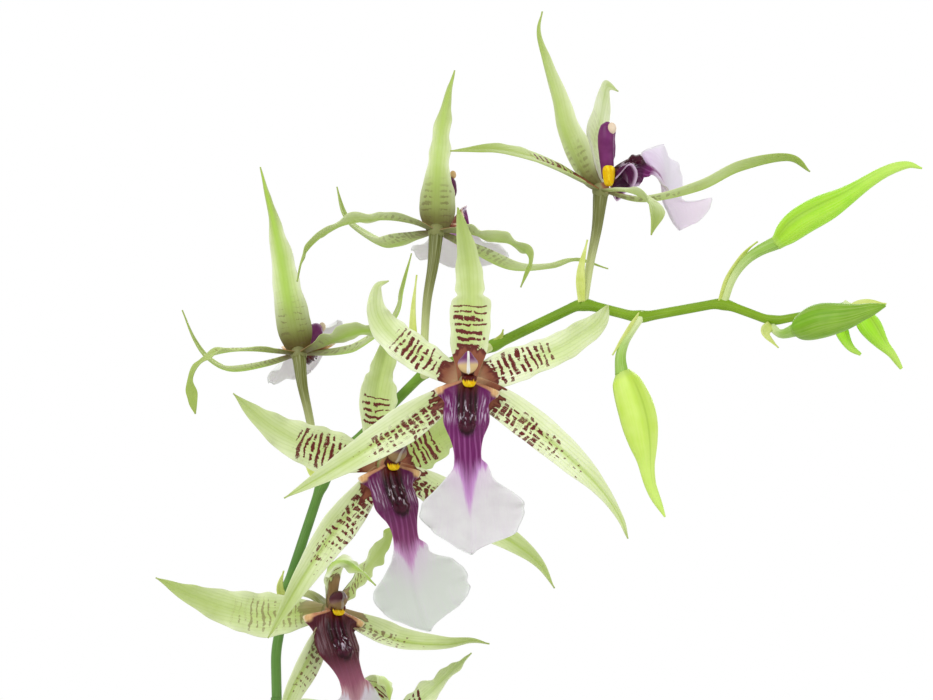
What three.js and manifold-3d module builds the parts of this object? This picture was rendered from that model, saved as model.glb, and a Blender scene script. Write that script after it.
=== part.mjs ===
// A potted orchid: one arching flower spray with open blooms and buds, its pseudobulbs and strap
// leaves, and the round clay pot of bark that it grows in. Millimetres, +Z up. The origin is the
// centre of the pot's underside, +X is the viewer's right and +Y points away from the viewer.
import * as THREE from "three";
import { mergeVertices } from "three/addons/utils/BufferGeometryUtils.js";
import Module from "manifold-3d";

// Driving dimensions of the pot and its filling
const potHeight = 120;
const potTopRadius = 65;
const potBaseRadius = 44;
const potWall = 5;
const potRimHeight = 22;
const potRimStep = 4;
const potSides = 24;
const drainRadius = 4.5;
const drainCircle = 27;
const drainCount = 4;
const barkLevel = 103;
const barkMound = 5;
const chipCount = 15;
const chipSize = [16, 12, 7];
const goldenTurn = Math.PI * (3 - Math.sqrt(5));
const plantDepth = 9;

// Gap between neighbouring pieces, the growth that leaves it round curved ones, and sheet thicknesses
const gap = 0.3;
const curvedGap = 0.5;
const tepalThickness = 0.7;
const lipThickness = 0.9;
const leafThickness = 1.3;

// Tepals: widest width of each kind, the share of it at the root, where the blade is widest, how late
// it narrows, and how much it waves and folds
const tepalKinds = {
  dorsal: { width: 9.3, claw: 0.5, peak: 0.28, fall: 1.0, wave: 0.45, fold: 0.3, rows: 8, columns: 4 },
  petal: { width: 10.0, claw: 0.42, peak: 0.36, fall: 1.5, wave: 0.5, fold: 0.12, rows: 8, columns: 4 },
  sepal: { width: 8.2, claw: 0.5, peak: 0.36, fall: 1.4, wave: 0, fold: 0.3, rows: 7, columns: 2 },
};
const tepalNeck = 0.62;
const tepalWaves = 4;
const heartRadius = 2.7;

// Lip: half widths along its length as [place, share of the half width]
const lipHalfWidth = 11.5;
const lipOutline = [
  [0, 0.25],
  [0.04, 0.54],
  [0.12, 0.48],
  [0.26, 0.46],
  [0.37, 0.31],
  [0.48, 0.27],
  [0.6, 0.56],
  [0.7, 0.9],
  [0.79, 1],
  [0.9, 0.74],
  [1, 0.06],
];
const lipColumns = 4;
const shoulderFold = 24;
const callusRadii = [1.2, 1.9, 1.2, 1.6, 0.5];
const callusHeight = 1.15;

// Column: radii along its length, and how flat it is
const columnRadii = [1.4, 1.5, 1.7, 1.95, 2.1, 1.8, 0.9];
const columnFlatness = 0.85;

// Open blooms. The heart is where the tepals meet; every other point is counted from it, as
// [right, away, up]. The facing is the way a bloom looks, and turned gives a tepal's own facing at
// its root and its tip where that differs. The fall, where one is given, is how late a tepal narrows
// to its tip. The lip's side points across it, and its fold is the angle in degrees by which the
// blade's halves bend to the front. Where a lip is twisted it has a blade side of its own, and its
// sweep is the share by which the blade's edges lie back.
const blooms = {
  "bloom_1": {
    "heart": [15, -30, 500], "facing": [0.05, -1, 0.12], "fall": {"petal_r": 2.6},
    "dorsal": [[0.5, 0.5, 9], [0.7, 2, 18], [0, 2, 28], [-2, 0, 38]],
    "petal_l": [[-9, 1, 5], [-16, 2, 10], [-19.5, 1, 15], [-19.5, -1, 20.5], [-17, -2.5, 22]],
    "petal_r": [[10.5, 1, 3], [19, 1.5, 7], [26.5, 0, 11.5], [30, -1, 14]],
    "sepal_l": [[-10, -1, -7], [-21, -3, -14], [-30, -5, -19.5], [-39.5, -6, -25]],
    "sepal_r": [[10, -1, -6.5], [19, -2, -13.5], [28, -2, -22], [33, -1, -29], [35, 0, -34]],
    "turned": {},
    "lip": [[0, -6.5, -5], [0, -8.5, -11], [0.3, -8.5, -18], [0.5, -7.5, -25], [0.8, -7, -31], [1, -8, -37]],
    "lip_side": [1, 0.05, 0], "lip_fold": 6,
    "column": [0.3, -11, 6.5],
    "pedicel": [[21, -13, 508], [19, -19, 505], [16.5, -25.5, 501.5]],
  },
  "bloom_2": {
    "heart": [-3.5, -14, 481.5], "facing": [0.42, -1, 0.05],
    "dorsal": [[-1.3, 1, 8.5], [-1.7, 4, 15], [0, 9, 24], [1.5, 15, 30.5]],
    "petal_l": [[-7.5, -2, 2], [-16.5, -5, 4.5], [-24, -8, 8.5], [-29.5, -10, 13], [-32.5, -12, 16]],
    "petal_r": [[7, 4, 3], [13, 9, 7], [18, 14, 9.5], [21, 19, 11]],
    "sepal_l": [[-5, -3, -7], [-12, -6, -16], [-18.5, -9, -26], [-25, -11, -37.5]],
    "sepal_r": [[10, 2, -5], [19, 4, -11.5], [29, 5, -17.5], [34.5, 5, -22], [38, 5, -27.5]],
    "turned": {},
    "lip": [
      [2.5, -6, -4.5], [4.5, -9, -11], [5.5, -9.5, -18], [7, -9, -24], [8.5, -9, -30], [10.5, -10, -36],
    ],
    "lip_side": [0.9, 0.35, 0.27], "lip_fold": 6,
    "column": [5, -11, 5],
    "pedicel": [[-11, 5, 485], [-8, -2, 484.5], [-5.5, -9, 483]],
  },
  "bloom_3": {
    "heart": [-16, 0, 448.5], "facing": [0.5, -1, 0.1],
    "dorsal": [[0, -1, 5], [0.5, -5, 10], [4, -13, 11.5], [8, -20, 9.5], [11, -24, 7]],
    "petal_l": [[-6.5, -2, -0.5], [-16.5, -5, -0.5], [-28, -9, 3], [-38, -12, 8]],
    "petal_r": [[4, 3, 4], [7.5, 8, 8.5], [11, 14, 13], [14, 20, 17]],
    "sepal_l": [[-2, -3, -5], [-5, -6, -11], [-8.5, -9, -18], [-11, -11, -25], [-13, -13, -33]],
    "sepal_r": [[9.5, 0, -4.5], [16.5, -2, -7], [26, -4, -7.5], [32, -6, -6.5], [36, -7, -7]],
    "turned": {
      "dorsal": [[0.9, -0.4, 0.1], [-0.45, 0.35, -0.8]],
      "petal_r": [[1, 0, 0.05], [1, 0, 0.05]],
      "sepal_r": [[0.2, -0.6, 0.8], [0.2, -0.6, 0.8]],
      "sepal_l": [[0.9, -0.5, 0.1], [0.9, -0.5, 0.1]],
    },
    "lip": [[2, -6, -4], [4, -9, -10], [6, -9.5, -17], [6.5, -9, -23], [8, -9, -29], [9.5, -10, -35]],
    "lip_side": [0.9, 0.4, 0.1], "lip_fold": 6,
    "column": [3.5, -10, 4.5],
    "pedicel": [[-26, 12, 452.5], [-22, 9, 452], [-19, 6, 451]],
  },
  "bloom_4": {
    "heart": [-24, 30, 506], "facing": [0.35, 1, 0.35],
    "dorsal": [[-2, -1, 10], [-3.5, -1, 19], [-5.5, 0, 29.5], [-9, 2, 43.5]],
    "petal_l": [[-10, -3, 1.2], [-17, -5, 0.8], [-22, -7, -1.2], [-24.5, -8, -6], [-23.4, -9, -13.7]],
    "petal_r": [[4, -1, 1.6], [11, -3, 4.4], [16.7, -5, 5.6], [20, -7, 3], [20.5, -8, -2]],
    "sepal_l": [[-9, 9, -2.6], [-17, 19, -3.6], [-22.5, 24, -1], [-26, 27, 3.5], [-29, 29, 10.5]],
    "sepal_r": [[9.7, 9, 0.5], [14.4, 14, 2.3], [21.8, 21, 8.6], [23.7, 24, 15.5], [25.8, 26, 24]],
    "turned": {
      "dorsal": [[0.2, 1, 0], [0.3, 1, 0]],
      "petal_l": [[0, 0.05, 1], [-0.8, 0.15, 0.6]],
      "petal_r": [[0, 0.05, 1], [0.8, 0.15, 0.6]],
      "sepal_l": [[0, 0, 1], [0.5, 0, 0.85]],
      "sepal_r": [[0, 0, 1], [-0.6, 0.3, 0.7]],
    },
    "lip": [[2, 6, -1], [1.5, 12, 0.5], [0.3, 17.5, 2.5], [-0.5, 21, 2], [0, 24, 0], [2, 27.5, -4]],
    "lip_side": [0.95, -0.33, 0], "blade_side": [0.77, 0.05, 0.62], "lip_fold": 6,
    "column": [4.2, 9.5, 6.5],
    "pedicel": [[-18, 9, 476.5], [-20.5, 18, 488.5], [-21.5, 21, 493], [-23, 26, 499]],
  },
  "bloom_5": {
    "heart": [8, 15, 534], "facing": [0.3, 1, 0.6],
    "dorsal": [[0, -1, 7], [0.3, -2, 14], [1, -1, 22], [2.5, 1, 30.5], [4.2, 3, 37]],
    "petal_l": [[-6.5, -1, 2.5], [-14, -2, 3], [-23, -4, 1], [-29.5, -6, -4.5], [-31.5, -7, -11.5]],
    "petal_r": [[7, -1, 0], [12.3, -2, -1.5], [17, -3, -2.5], [21.4, -5, -6], [19.2, -6, -12.8]],
    "sepal_l": [[-6.4, 9, -1.6], [-12, 16, -2.7], [-19, 24, 1.4], [-22, 27, 5], [-23.6, 30, 11.4]],
    "sepal_r": [[8, 5, -4], [17, 11, -8], [26.7, 17, -7.6], [32.4, 20, -6], [40, 23, -8]],
    "turned": {
      "dorsal": [[0.2, 1, 0], [0.3, 1, 0]],
      "petal_l": [[0, 0.05, 1], [-0.8, 0.15, 0.6]],
      "petal_r": [[0, 0.1, 1], [0.8, 0.25, 0.6]],
      "sepal_l": [[0, 0, 1], [0.5, 0, 0.85]],
      "sepal_r": [[0, 0, 1], [0, 0, 1]],
    },
    "lip": [
      [3, 5.5, 3.5], [4.5, 10.5, 5.5], [5.5, 15.5, 4.5], [5.5, 18.5, 0.5], [5.5, 20.5, -4.5],
      [5.5, 21, -10],
    ],
    "lip_side": [1, 0, -0.05], "lip_fold": 6,
    "column": [4.3, 5, 12.5],
    "pedicel": [[5.5, -6, 502], [5.5, 4, 510.5], [6, 9, 518.5], [7.3, 13, 526.5]],
  },
  "bloom_6": {
    "heart": [44.2, -28, 541.7], "facing": [0.72, -0.42, 0.6], "fall": {"sepal_r": 2.2},
    "dorsal": [[-3.8, 0.5, 4], [-7.9, 1, 13.5], [-9.6, 1, 20.4], [-13.5, 0, 33.3], [-12.8, -1, 39]],
    "petal_l": [[-8.8, -4, 4.4], [-16.7, -9, 7.2], [-23.3, -12, 8.4], [-32.8, -14, 8]],
    "petal_r": [[-1.5, 6, 10], [0, 10, 16], [1, 14, 21], [2, 18, 24], [4.5, 21, 23]],
    "sepal_l": [[4, -10, 0], [7.5, -17, -1.3], [10, -25, -4], [10, -30, -7], [9.5, -33, -10.5]],
    "sepal_r": [[9.2, 1, -2], [21.3, 3, 0.4], [30.2, 4, 4.6], [40.9, 5, 6.9], [45.8, 5, 4.3]],
    "turned": {
      "dorsal": [[0.75, 0.6, 0.25], [0.8, 0.5, 0.3]],
      "petal_l": [[0.3, -0.2, 1], [0.2, -0.5, 1]],
      "petal_r": [[0.9, -0.3, 0.1], [0.8, -0.5, 0.2]],
      "sepal_l": [[0.1, 0, 1], [0.9, -0.1, 0.6]],
      "sepal_r": [[-0.2, 0.1, 1], [-0.1, 0.4, 1]],
    },
    "lip": [
      [3.5, 0, 3.8], [6.5, 0, 5.6], [9.3, 0.3, 5.8], [11.3, 0.8, 4.4], [12.8, 1.5, 2], [14, 2.5, -1],
      [16, 4.5, -4.3], [18, 7, -7.6],
    ],
    "lip_side": [0.1, 1, 0.1], "blade_side": [-0.58, 0.5, 0.64], "lip_fold": 44, "lip_sweep": 0.3,
    "column": [1.4, -1, 15],
    "pedicel": [[40.5, -27, 517.5], [41.8, -27, 525.5], [43.3, -28, 533.5]],
  },
  "bloom_7": {
    "heart": [-6, 10, 417.5], "facing": [-0.45, -0.9, 0.15],
    "dorsal": [[0, -2, 7], [0.5, -6, 13], [2, -13, 16], [3.5, -21, 15], [4, -28, 12]],
    "petal_l": [[-7, 4, 3], [-15, 6, 5.5], [-23, 7, 5.5], [-30, 7, 3]],
    "petal_r": [[5.5, -2, 5.5], [11.5, -5, 11], [17, -8, 16.5], [22, -11, 21.5]],
    "sepal_l": [[-6, 2, -8], [-13, 4, -17], [-18, 5, -26], [-21, 6, -36]],
    "sepal_r": [[5, -3, -7], [11, -7, -15], [16, -10, -23], [19, -12, -33]],
    "turned": {
      "dorsal": [[-0.4, -0.9, 0.1], [-0.1, -0.2, -1]],
      "petal_r": [[-0.85, -0.35, 0.35], [-0.85, -0.35, 0.35]],
    },
    "lip": [
      [-2.5, -6, -4.5], [-4.5, -9, -11], [-5.5, -9.5, -18], [-5.5, -9, -24], [-5, -9, -30],
      [-4.5, -10, -36],
    ],
    "lip_side": [0.9, -0.42, 0], "lip_fold": 6,
    "column": [-5, -8, 9.5],
    "pedicel": [[-28.5, 12, 412], [-20, 14, 414.5], [-12, 14, 416.5]],
  },
};

// The flower stem's stalk, from its foot in the bark to its first bloom, and the spray beyond it
const stalkLine = [
  [-20, 7, 95], [-19.5, 8, 130], [-18, 10, 200], [-19, 12, 280], [-24, 13, 360], [-28.5, 12, 428],
];
const sprayLine = [
  [-28, 12.5, 415], [-28.5, 12, 428], [-28.5, 12, 440], [-27, 12, 450], [-24.5, 12, 459],
  [-20, 10, 473], [-17, 9, 478], [-9, 5, 487], [-1, 0, 496], [3.5, -4, 501], [9, -8, 503.5],
  [21, -13, 508], [31, -20, 512.5], [39.5, -27, 517], [46.5, -28, 515], [52.5, -28, 513.5],
  [61.5, -28, 515], [70.5, -28, 517.5], [75.5, -28, 515], [81.5, -28, 512], [87.5, -28, 514],
  [98, -29, 516.5],
];
const stalkRows = 9;
const stalkRadii = [2.4, 2.35, 2.2, 2.0, 1.7, 1.3];
const sprayRows = 24;
const sprayRadii = [1.3, 1.3, 1.25, 1.25, 1.2, 1.1, 0.85];
const branchRoot = 1.2;
const pedicelRadii = [0.95, 0.95, 1.0, 1.15, 1.7];
const budStalkRadii = [1.1, 1.05, 1.4];

// Flower buds and the stalks that carry them
const buds = {
  "bud_1": {
    "stalk": [[70.5, -28, 517.5], [73.5, -29, 522], [77, -30, 527], [82, -31, 530]],
    "line": [
      [82, -31, 530], [87, -32, 534.5], [96, -33, 539.5], [104.5, -34, 545], [110, -34, 547],
      [113.5, -34, 546.3],
    ],
    "radii": [1.7, 2.9, 3.2, 3.0, 2.2, 1.6, 1.3, 1.0, 0.5],
  },
  "bud_2": {
    "stalk": [[52.5, -28, 513.5], [50, -31, 509], [48, -32, 506], [48.5, -33, 502.5]],
    "line": [
      [48.7, -33, 502.5], [51.5, -33, 494], [53.3, -33, 485.5], [54.7, -33, 477.7], [57.9, -33, 470.8],
    ],
    "radii": [2.5, 3.5, 4.0, 3.9, 3.1, 1.9, 1.35, 1.0, 0.5],
  },
  "bud_3": {
    "stalk": [[81.5, -28, 512], [83, -34, 510.5], [85.5, -40, 511.3]],
    "line": [[85.5, -40, 511.3], [90.5, -45, 513], [96.5, -48, 514.2], [104, -50, 516.5]],
    "radii": [1.7, 2.7, 3.2, 3.2, 2.8, 2.2, 1.5, 1.0, 0.5],
  },
  "bud_4": {
    "stalk": [[98, -29, 516.5], [100.5, -30, 515.2]],
    "line": [[100.5, -30, 515.2], [102.5, -31, 512], [105, -31, 508.5], [107.3, -31, 506], [109.4, -30, 503]],
    "radii": [1.4, 2.3, 2.5, 2.2, 1.7, 1.2, 0.9, 0.7, 0.4],
  },
  "bud_5": {
    "stalk": [[95, -28, 515.5], [95.8, -28, 513.5]],
    "line": [[95.8, -28, 513.5], [97, -28.5, 510], [98.5, -29, 507.5], [100.7, -29, 506]],
    "radii": [0.9, 1.3, 1.5, 1.4, 1.2, 1.0, 0.8, 0.6, 0.35],
  },
};

// Bracts on the stem, each a short pointed scale: its line and its width
const bracts = [
  { line: [[39.8, -28, 517.5], [39, -30, 524], [41, -31, 531]], width: 2.4 },
  { line: [[4.8, -5, 502.5], [3, 2, 509], [2.8, 6, 516], [3.6, 9, 524]], width: 2.2 },
  { line: [[70, -29, 518], [73, -32, 524.5], [77, -34, 530]], width: 2.4 },
  { line: [[52, -29, 514], [48.5, -34, 510.5], [45.5, -36, 505.5]], width: 2.6 },
  { line: [[81, -29, 512.5], [79.5, -34, 510.5], [82, -39, 507.5]], width: 2.4 },
  { line: [[21, -13, 508], [22.5, -15.5, 510], [23, -17, 511.5]], width: 1.8 },
  { line: [[-18, 10, 476], [-21, 14, 481], [-22.5, 14, 489]], width: 2.4 },
  { line: [[-26.5, 12, 449], [-27.5, 9.5, 453], [-26.5, 7.5, 457]], width: 2.2 },
  { line: [[-28.5, 13, 410], [-27, 18, 415], [-23, 19, 420]], width: 2.6 },
  { line: [[98, -29, 516], [102, -31, 517.3], [106, -32, 517]], width: 2.0 },
];
const bractThickness = 0.7;

// Sheaths that wrap the stem at its lower nodes: height of the foot and length
const sheaths = [[132, 20], [196, 18], [264, 17], [334, 15]];

// Pseudobulbs: foot on the bark, half sizes across and along the row, height and lean
const bulbs = [
  { foot: [-1, 8], half: [9.5, 16], height: 70, lean: [2, 1] },
  { foot: [22, 3], half: [9, 15], height: 62, lean: [4, -1] },
  { foot: [44, -8], half: [8.5, 13], height: 54, lean: [5, -2] },
  { foot: [9, -29], half: [13, 8], height: 46, lean: [-1, -4] },
];

// Leaves: midline from the foot to the tip, and widest width
const leaves = [
  { line: [[0, 2.5, 161], [-10, -12, 204], [-42, -44, 262], [-88, -74, 290], [-138, -100, 274]], width: 30 },
  { line: [[2, 14, 161], [10, 30, 204], [28, 64, 262], [48, 112, 292], [62, 164, 276]], width: 29 },
  { line: [[26.5, -4, 152], [38, -14, 190], [72, -32, 238], [120, -48, 258], [170, -62, 234]], width: 28 },
  { line: [[26, 8, 152], [36, 24, 190], [72, 54, 234], [114, 88, 242], [154, 120, 218]], width: 27 },
  { line: [[48.5, -16, 141], [52, -34, 176], [58, -78, 214], [64, -126, 220], [68, -170, 192]], width: 27 },
  { line: [[-14, -12, 96], [-18, -26, 150], [-32, -68, 208], [-48, -116, 228], [-60, -158, 206]], width: 26 },
  { line: [[-12, 28, 96], [-24, 37, 150], [-62, 62, 210], [-110, 86, 232], [-152, 106, 212]], width: 28 },
];
const leafRows = 10;
const leafColumns = 2;
const leafFold = 0.35;

const wasm = await Module();
wasm.setup();

// Points as vectors
function vector(point) {
  return new THREE.Vector3(...point);
}

// Smooth step from 0 at a to 1 at b
function smooth(a, b, x) {
  return THREE.MathUtils.smoothstep(x, a, b);
}

// A value read between the evenly spaced entries of a list
function along(list, t) {
  const place = t * (list.length - 1);
  const low = Math.min(Math.floor(place), list.length - 2);
  return THREE.MathUtils.lerp(list[low], list[low + 1], place - low);
}

// A smooth line through hand-placed points
function lineThrough(points) {
  return new THREE.CatmullRomCurve3(points.map(vector), false, "catmullrom", 0.5);
}

// Place, direction, side and normal of a line at t, the normal kept as near facing as it can be
function frameAt(line, t, facing) {
  const place = line.getPointAt(t);
  const direction = line.getTangentAt(t);
  const normal = facing.clone().addScaledVector(direction, -facing.dot(direction)).normalize();
  const side = new THREE.Vector3().crossVectors(direction, normal);
  return { place, direction, side, normal };
}

// A closed geometry as a solid that can be joined and cut
function solid(geometry) {
  const bare = geometry.clone();
  bare.deleteAttribute("normal");
  bare.deleteAttribute("uv");
  const merged = mergeVertices(bare, 1e-4);
  return new wasm.Manifold(
    new wasm.Mesh({
      numProp: 3,
      vertProperties: new Float32Array(merged.attributes.position.array),
      triVerts: new Uint32Array(merged.index.array),
    }),
  );
}

// A point moved away from its neighbour by a distance, or towards it if that is negative
function pushed(point, neighbour, distance) {
  const away = vector(point).sub(vector(neighbour)).normalize();
  return vector(point).addScaledVector(away, distance).toArray();
}

// Hand-placed points with the line's ends moved along it, outwards where the distance is positive
function stretched(points, atStart, atEnd) {
  const first = pushed(points[0], points[1], atStart);
  const last = pushed(points.at(-1), points.at(-2), atEnd);
  return [first, ...points.slice(1, -1), last];
}

// Several solids joined into one
function joined(solids) {
  return solids.reduce((whole, next) => whole.add(next));
}

// The largest piece of a solid, with specks left out and slivers under the tolerance smoothed away
function largest(whole, tolerance = 0.07) {
  const pieces = whole.simplify(tolerance).decompose();
  return pieces.reduce((best, next) => (next.volume() > best.volume() ? next : best));
}

// A thin closed sheet: a grid of middle points pushed out by half its thickness on both faces
function sheet(rows, columns, thickness, pointAt) {
  const across = columns + 1;
  const count = (rows + 1) * across;
  const middle = [];
  for (let row = 0; row <= rows; row += 1) {
    for (let column = 0; column <= columns; column += 1) {
      middle.push(pointAt(row / rows, (2 * column) / columns - 1));
    }
  }
  const positions = [];
  for (const half of [thickness / 2, -thickness / 2]) {
    for (let row = 0; row <= rows; row += 1) {
      for (let column = 0; column <= columns; column += 1) {
        const onward = middle[Math.min(row + 1, rows) * across + column].clone();
        onward.sub(middle[Math.max(row - 1, 0) * across + column]);
        const sideways = middle[row * across + Math.min(column + 1, columns)].clone();
        sideways.sub(middle[row * across + Math.max(column - 1, 0)]);
        const out = new THREE.Vector3().crossVectors(sideways, onward).normalize();
        const point = middle[row * across + column].clone().addScaledVector(out, half);
        positions.push(point.x, point.y, point.z);
      }
    }
  }
  const index = [];
  for (let row = 0; row < rows; row += 1) {
    for (let column = 0; column < columns; column += 1) {
      const a = row * across + column;
      const b = a + 1;
      const c = a + across;
      const d = c + 1;
      index.push(a, b, d, a, d, c);
      index.push(count + a, count + d, count + b, count + a, count + c, count + d);
    }
  }
  const rim = [];
  for (let column = 0; column < columns; column += 1) {
    rim.push(column);
  }
  for (let row = 0; row < rows; row += 1) {
    rim.push(row * across + columns);
  }
  for (let column = columns; column > 0; column -= 1) {
    rim.push(rows * across + column);
  }
  for (let row = rows; row > 0; row -= 1) {
    rim.push(row * across);
  }
  rim.forEach((from, k) => {
    const to = rim[(k + 1) % rim.length];
    index.push(from, count + from, to, to, count + from, count + to);
  });
  const geometry = new THREE.BufferGeometry();
  geometry.setAttribute("position", new THREE.Float32BufferAttribute(positions, 3));
  geometry.setIndex(index);
  return solid(geometry);
}

// A cylinder bent along a line, with a radius for each place on it
function rod(line, sides, rows, radiusAt, facing = new THREE.Vector3(0, 0, 1), flatness = 1) {
  const geometry = new THREE.CylinderGeometry(1, 1, 1, sides, rows);
  const position = geometry.attributes.position;
  for (let k = 0; k < position.count; k += 1) {
    const t = THREE.MathUtils.clamp(position.getY(k) + 0.5, 0, 1);
    const { place, side, normal } = frameAt(line, t, facing);
    const radius = radiusAt(t);
    place.addScaledVector(side, position.getX(k) * radius);
    place.addScaledVector(normal, position.getZ(k) * radius * flatness);
    position.setXYZ(k, place.x, place.y, place.z);
  }
  return solid(geometry);
}

// Share of a blade's widest half width at t, from its claw to its pointed tip
function bladeWidth(t, claw, peak, fall, neck = 1) {
  const rise = (claw + (1 - claw) * smooth(0, peak, t)) * (neck + (1 - neck) * smooth(0, 0.09, t));
  const past = Math.max(0, (t - peak) / (1 - peak));
  return rise * (1 - past ** fall);
}

// One tepal: a folded blade with waved edges, grown by extra on every side when it cuts a gap
function tepal(bloom, name, extra) {
  const kind = tepalKinds[name.split("_")[0]];
  const heart = vector(bloom.heart);
  const points = [[0, 0, 0], ...bloom[name]].map((p) => vector(p).add(heart).toArray());
  const line = lineThrough(points);
  const [rootFacing, tipFacing] = (bloom.turned[name] ?? [bloom.facing, bloom.facing]).map(vector);
  rootFacing.normalize();
  tipFacing.normalize();
  const halfWidth = kind.width / 2;
  const fall = bloom.fall?.[name] ?? kind.fall;
  return sheet(kind.rows, kind.columns, tepalThickness + 2 * extra, (t, v) => {
    const facing = rootFacing.clone().lerp(tipFacing, t);
    const { place, direction, side, normal } = frameAt(line, t, facing);
    const share = bladeWidth(t, kind.claw, kind.peak, fall, tepalNeck);
    const half = Math.max(0.3, halfWidth * share) + extra;
    const waving = smooth(0.12, 0.35, t) * (1 - smooth(0.8, 1, t));
    const wave = kind.wave * waving * v * v * Math.cos(2 * Math.PI * tepalWaves * t);
    place.addScaledVector(side, v * half);
    place.addScaledVector(normal, kind.fold * Math.abs(v) ** 1.5 * half + wave);
    if (t === 1) {
      place.addScaledVector(direction, extra);
    }
    return place;
  });
}

// The round heart where a bloom's tepals meet
function heartBall(bloom, extra) {
  const ball = new THREE.SphereGeometry(heartRadius + extra, 6, 4);
  ball.translate(...bloom.heart);
  return solid(ball);
}

// All of a bloom's tepals joined at its heart
function tepals(bloom, extra = 0) {
  const names = ["dorsal", "petal_l", "petal_r", "sepal_l", "sepal_r"];
  const blades = names.map((name) => tepal(bloom, name, extra));
  return joined([heartBall(bloom, extra), ...blades]);
}

// Frame of a bloom's lip at t: its side runs across the bloom, its normal to the back
function lipFrame(bloom, line, t) {
  const place = line.getPointAt(t);
  const direction = line.getTangentAt(t);
  const side = vector(bloom.lip_side).normalize();
  side.addScaledVector(direction, -side.dot(direction)).normalize();
  if (bloom.blade_side) {
    side.lerp(vector(bloom.blade_side).normalize(), smooth(0.3, 0.6, t)).normalize();
  }
  const normal = new THREE.Vector3().crossVectors(side, direction).normalize();
  return { place, direction, side, normal };
}

// The lip: shoulders, narrow waist and a wide spreading blade, with a knobbly callus at its root
function lip(bloom, extra = 0) {
  const heart = vector(bloom.heart);
  const root = vector(bloom.facing).normalize().multiplyScalar(heartRadius + 0.6 - extra);
  const points = [root.toArray(), ...bloom.lip].map((p) => vector(p).add(heart).toArray());
  const line = lineThrough(points);
  const rows = lipOutline.length - 1;
  const blade = sheet(rows, lipColumns, lipThickness + 2 * extra, (place, v) => {
    const [t, share] = lipOutline[Math.round(place * rows)];
    const frame = lipFrame(bloom, line, t);
    const half = lipHalfWidth * share + extra;
    const bladed = smooth(0.4, 0.6, t);
    const shoulder = 1 - smooth(0.3, 0.5, t);
    const edgeWave = 0.5 * bladed * Math.cos(Math.PI * place * rows) * Math.abs(v) ** 3;
    const fold = THREE.MathUtils.degToRad(bladed * bloom.lip_fold - shoulder * shoulderFold);
    frame.place.addScaledVector(frame.side, v * half * Math.cos(fold));
    frame.place.addScaledVector(frame.direction, -(bloom.lip_sweep ?? 0) * bladed * v * v * half);
    frame.place.addScaledVector(frame.normal, -Math.sin(fold) * Math.abs(v) ** 1.5 * half - edgeWave);
    return frame.place;
  });
  const ridge = [line.getPointAt(0.06).toArray(), line.getPointAt(0.3).toArray()];
  const front = lipFrame(bloom, line, 0.17).normal.negate();
  const radiusAt = (t) => along(callusRadii, t) + extra;
  const rest = callusRadii.length - 1;
  const callus = rod(lineThrough(stretched(ridge, extra, extra)), 6, rest, radiusAt, front, callusHeight);
  return blade.add(callus);
}

// The column: a stout flattened rod over the lip's root, swollen at its cap
function column(bloom) {
  const heart = vector(bloom.heart);
  const reach = vector(bloom.column);
  const facing = vector(bloom.facing).normalize();
  const start = facing.clone().multiplyScalar(heartRadius * 0.75);
  start.addScaledVector(reach.clone().normalize(), heartRadius * 0.55);
  const middle = start.clone().lerp(reach, 0.5).addScaledVector(facing, -0.5);
  const points = [start, middle, reach].map((p) => p.add(heart).toArray());
  const rows = columnRadii.length - 1;
  return rod(lineThrough(points), 7, rows, (t) => along(columnRadii, t), facing, columnFlatness);
}

// A bud on the end of its stalk
function bud(shape, extra = 0) {
  const line = lineThrough(stretched(shape.line, extra, extra));
  return rod(line, 7, shape.radii.length - 1, (t) => along(shape.radii, t) + extra);
}

// A bract: a short boat-shaped scale
function bract({ line, width }) {
  const middle = lineThrough(line);
  const facing = new THREE.Vector3(0.3, -1, 0.4).normalize();
  return sheet(3, 2, bractThickness, (t, v) => {
    const { place, side, normal } = frameAt(middle, t, facing);
    const half = Math.max(0.3, (width / 2) * bladeWidth(t, 0.8, 0.3, 1.3));
    place.addScaledVector(side, v * half);
    return place.addScaledVector(normal, 0.5 * Math.abs(v) * half);
  });
}

// A sheath round the stem: a cone that opens a little at its top
function sheath(line, [foot, length]) {
  const at = (height) => {
    let t = 0;
    while (line.getPointAt(t).z < height && t < 1) {
      t += 0.002;
    }
    return line.getPointAt(t);
  };
  const short = new THREE.LineCurve3(at(foot), at(foot + length));
  const radius = along(stalkRadii, (foot - stalkLine[0][2]) / (stalkLine.at(-1)[2] - stalkLine[0][2]));
  return rod(short, 6, 2, (t) => radius + along([0.6, 0.9, 0.3], t));
}

// The whole flower stem with its branches, bracts and sheaths, clear of blooms and buds
function flowerStem() {
  const stalk = lineThrough(stalkLine);
  const facing = new THREE.Vector3(0.3, 1, 0.1);
  const parts = [
    rod(stalk, 6, stalkRows, (t) => along(stalkRadii, t), facing),
    rod(lineThrough(sprayLine), 6, sprayRows, (t) => along(sprayRadii, t), facing),
  ];
  for (const bloom of Object.values(blooms)) {
    const points = stretched([...bloom.pedicel, bloom.heart], branchRoot, -heartRadius - gap);
    parts.push(rod(lineThrough(points), 6, 4, (t) => along(pedicelRadii, t), facing));
  }
  for (const shape of Object.values(buds)) {
    const points = stretched(shape.stalk, branchRoot, 0);
    parts.push(rod(lineThrough(points), 5, 3, (t) => along(budStalkRadii, t), facing));
  }
  for (const shape of bracts) {
    parts.push(bract(shape));
  }
  for (const place of sheaths) {
    parts.push(sheath(stalk, place));
  }
  const cutters = [];
  for (const bloom of Object.values(blooms)) {
    cutters.push(tepals(bloom, gap));
  }
  for (const shape of Object.values(buds)) {
    cutters.push(bud(shape, gap));
  }
  return largest(joined(parts).simplify(0.16).subtract(joined(cutters)), 0.16);
}

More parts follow.
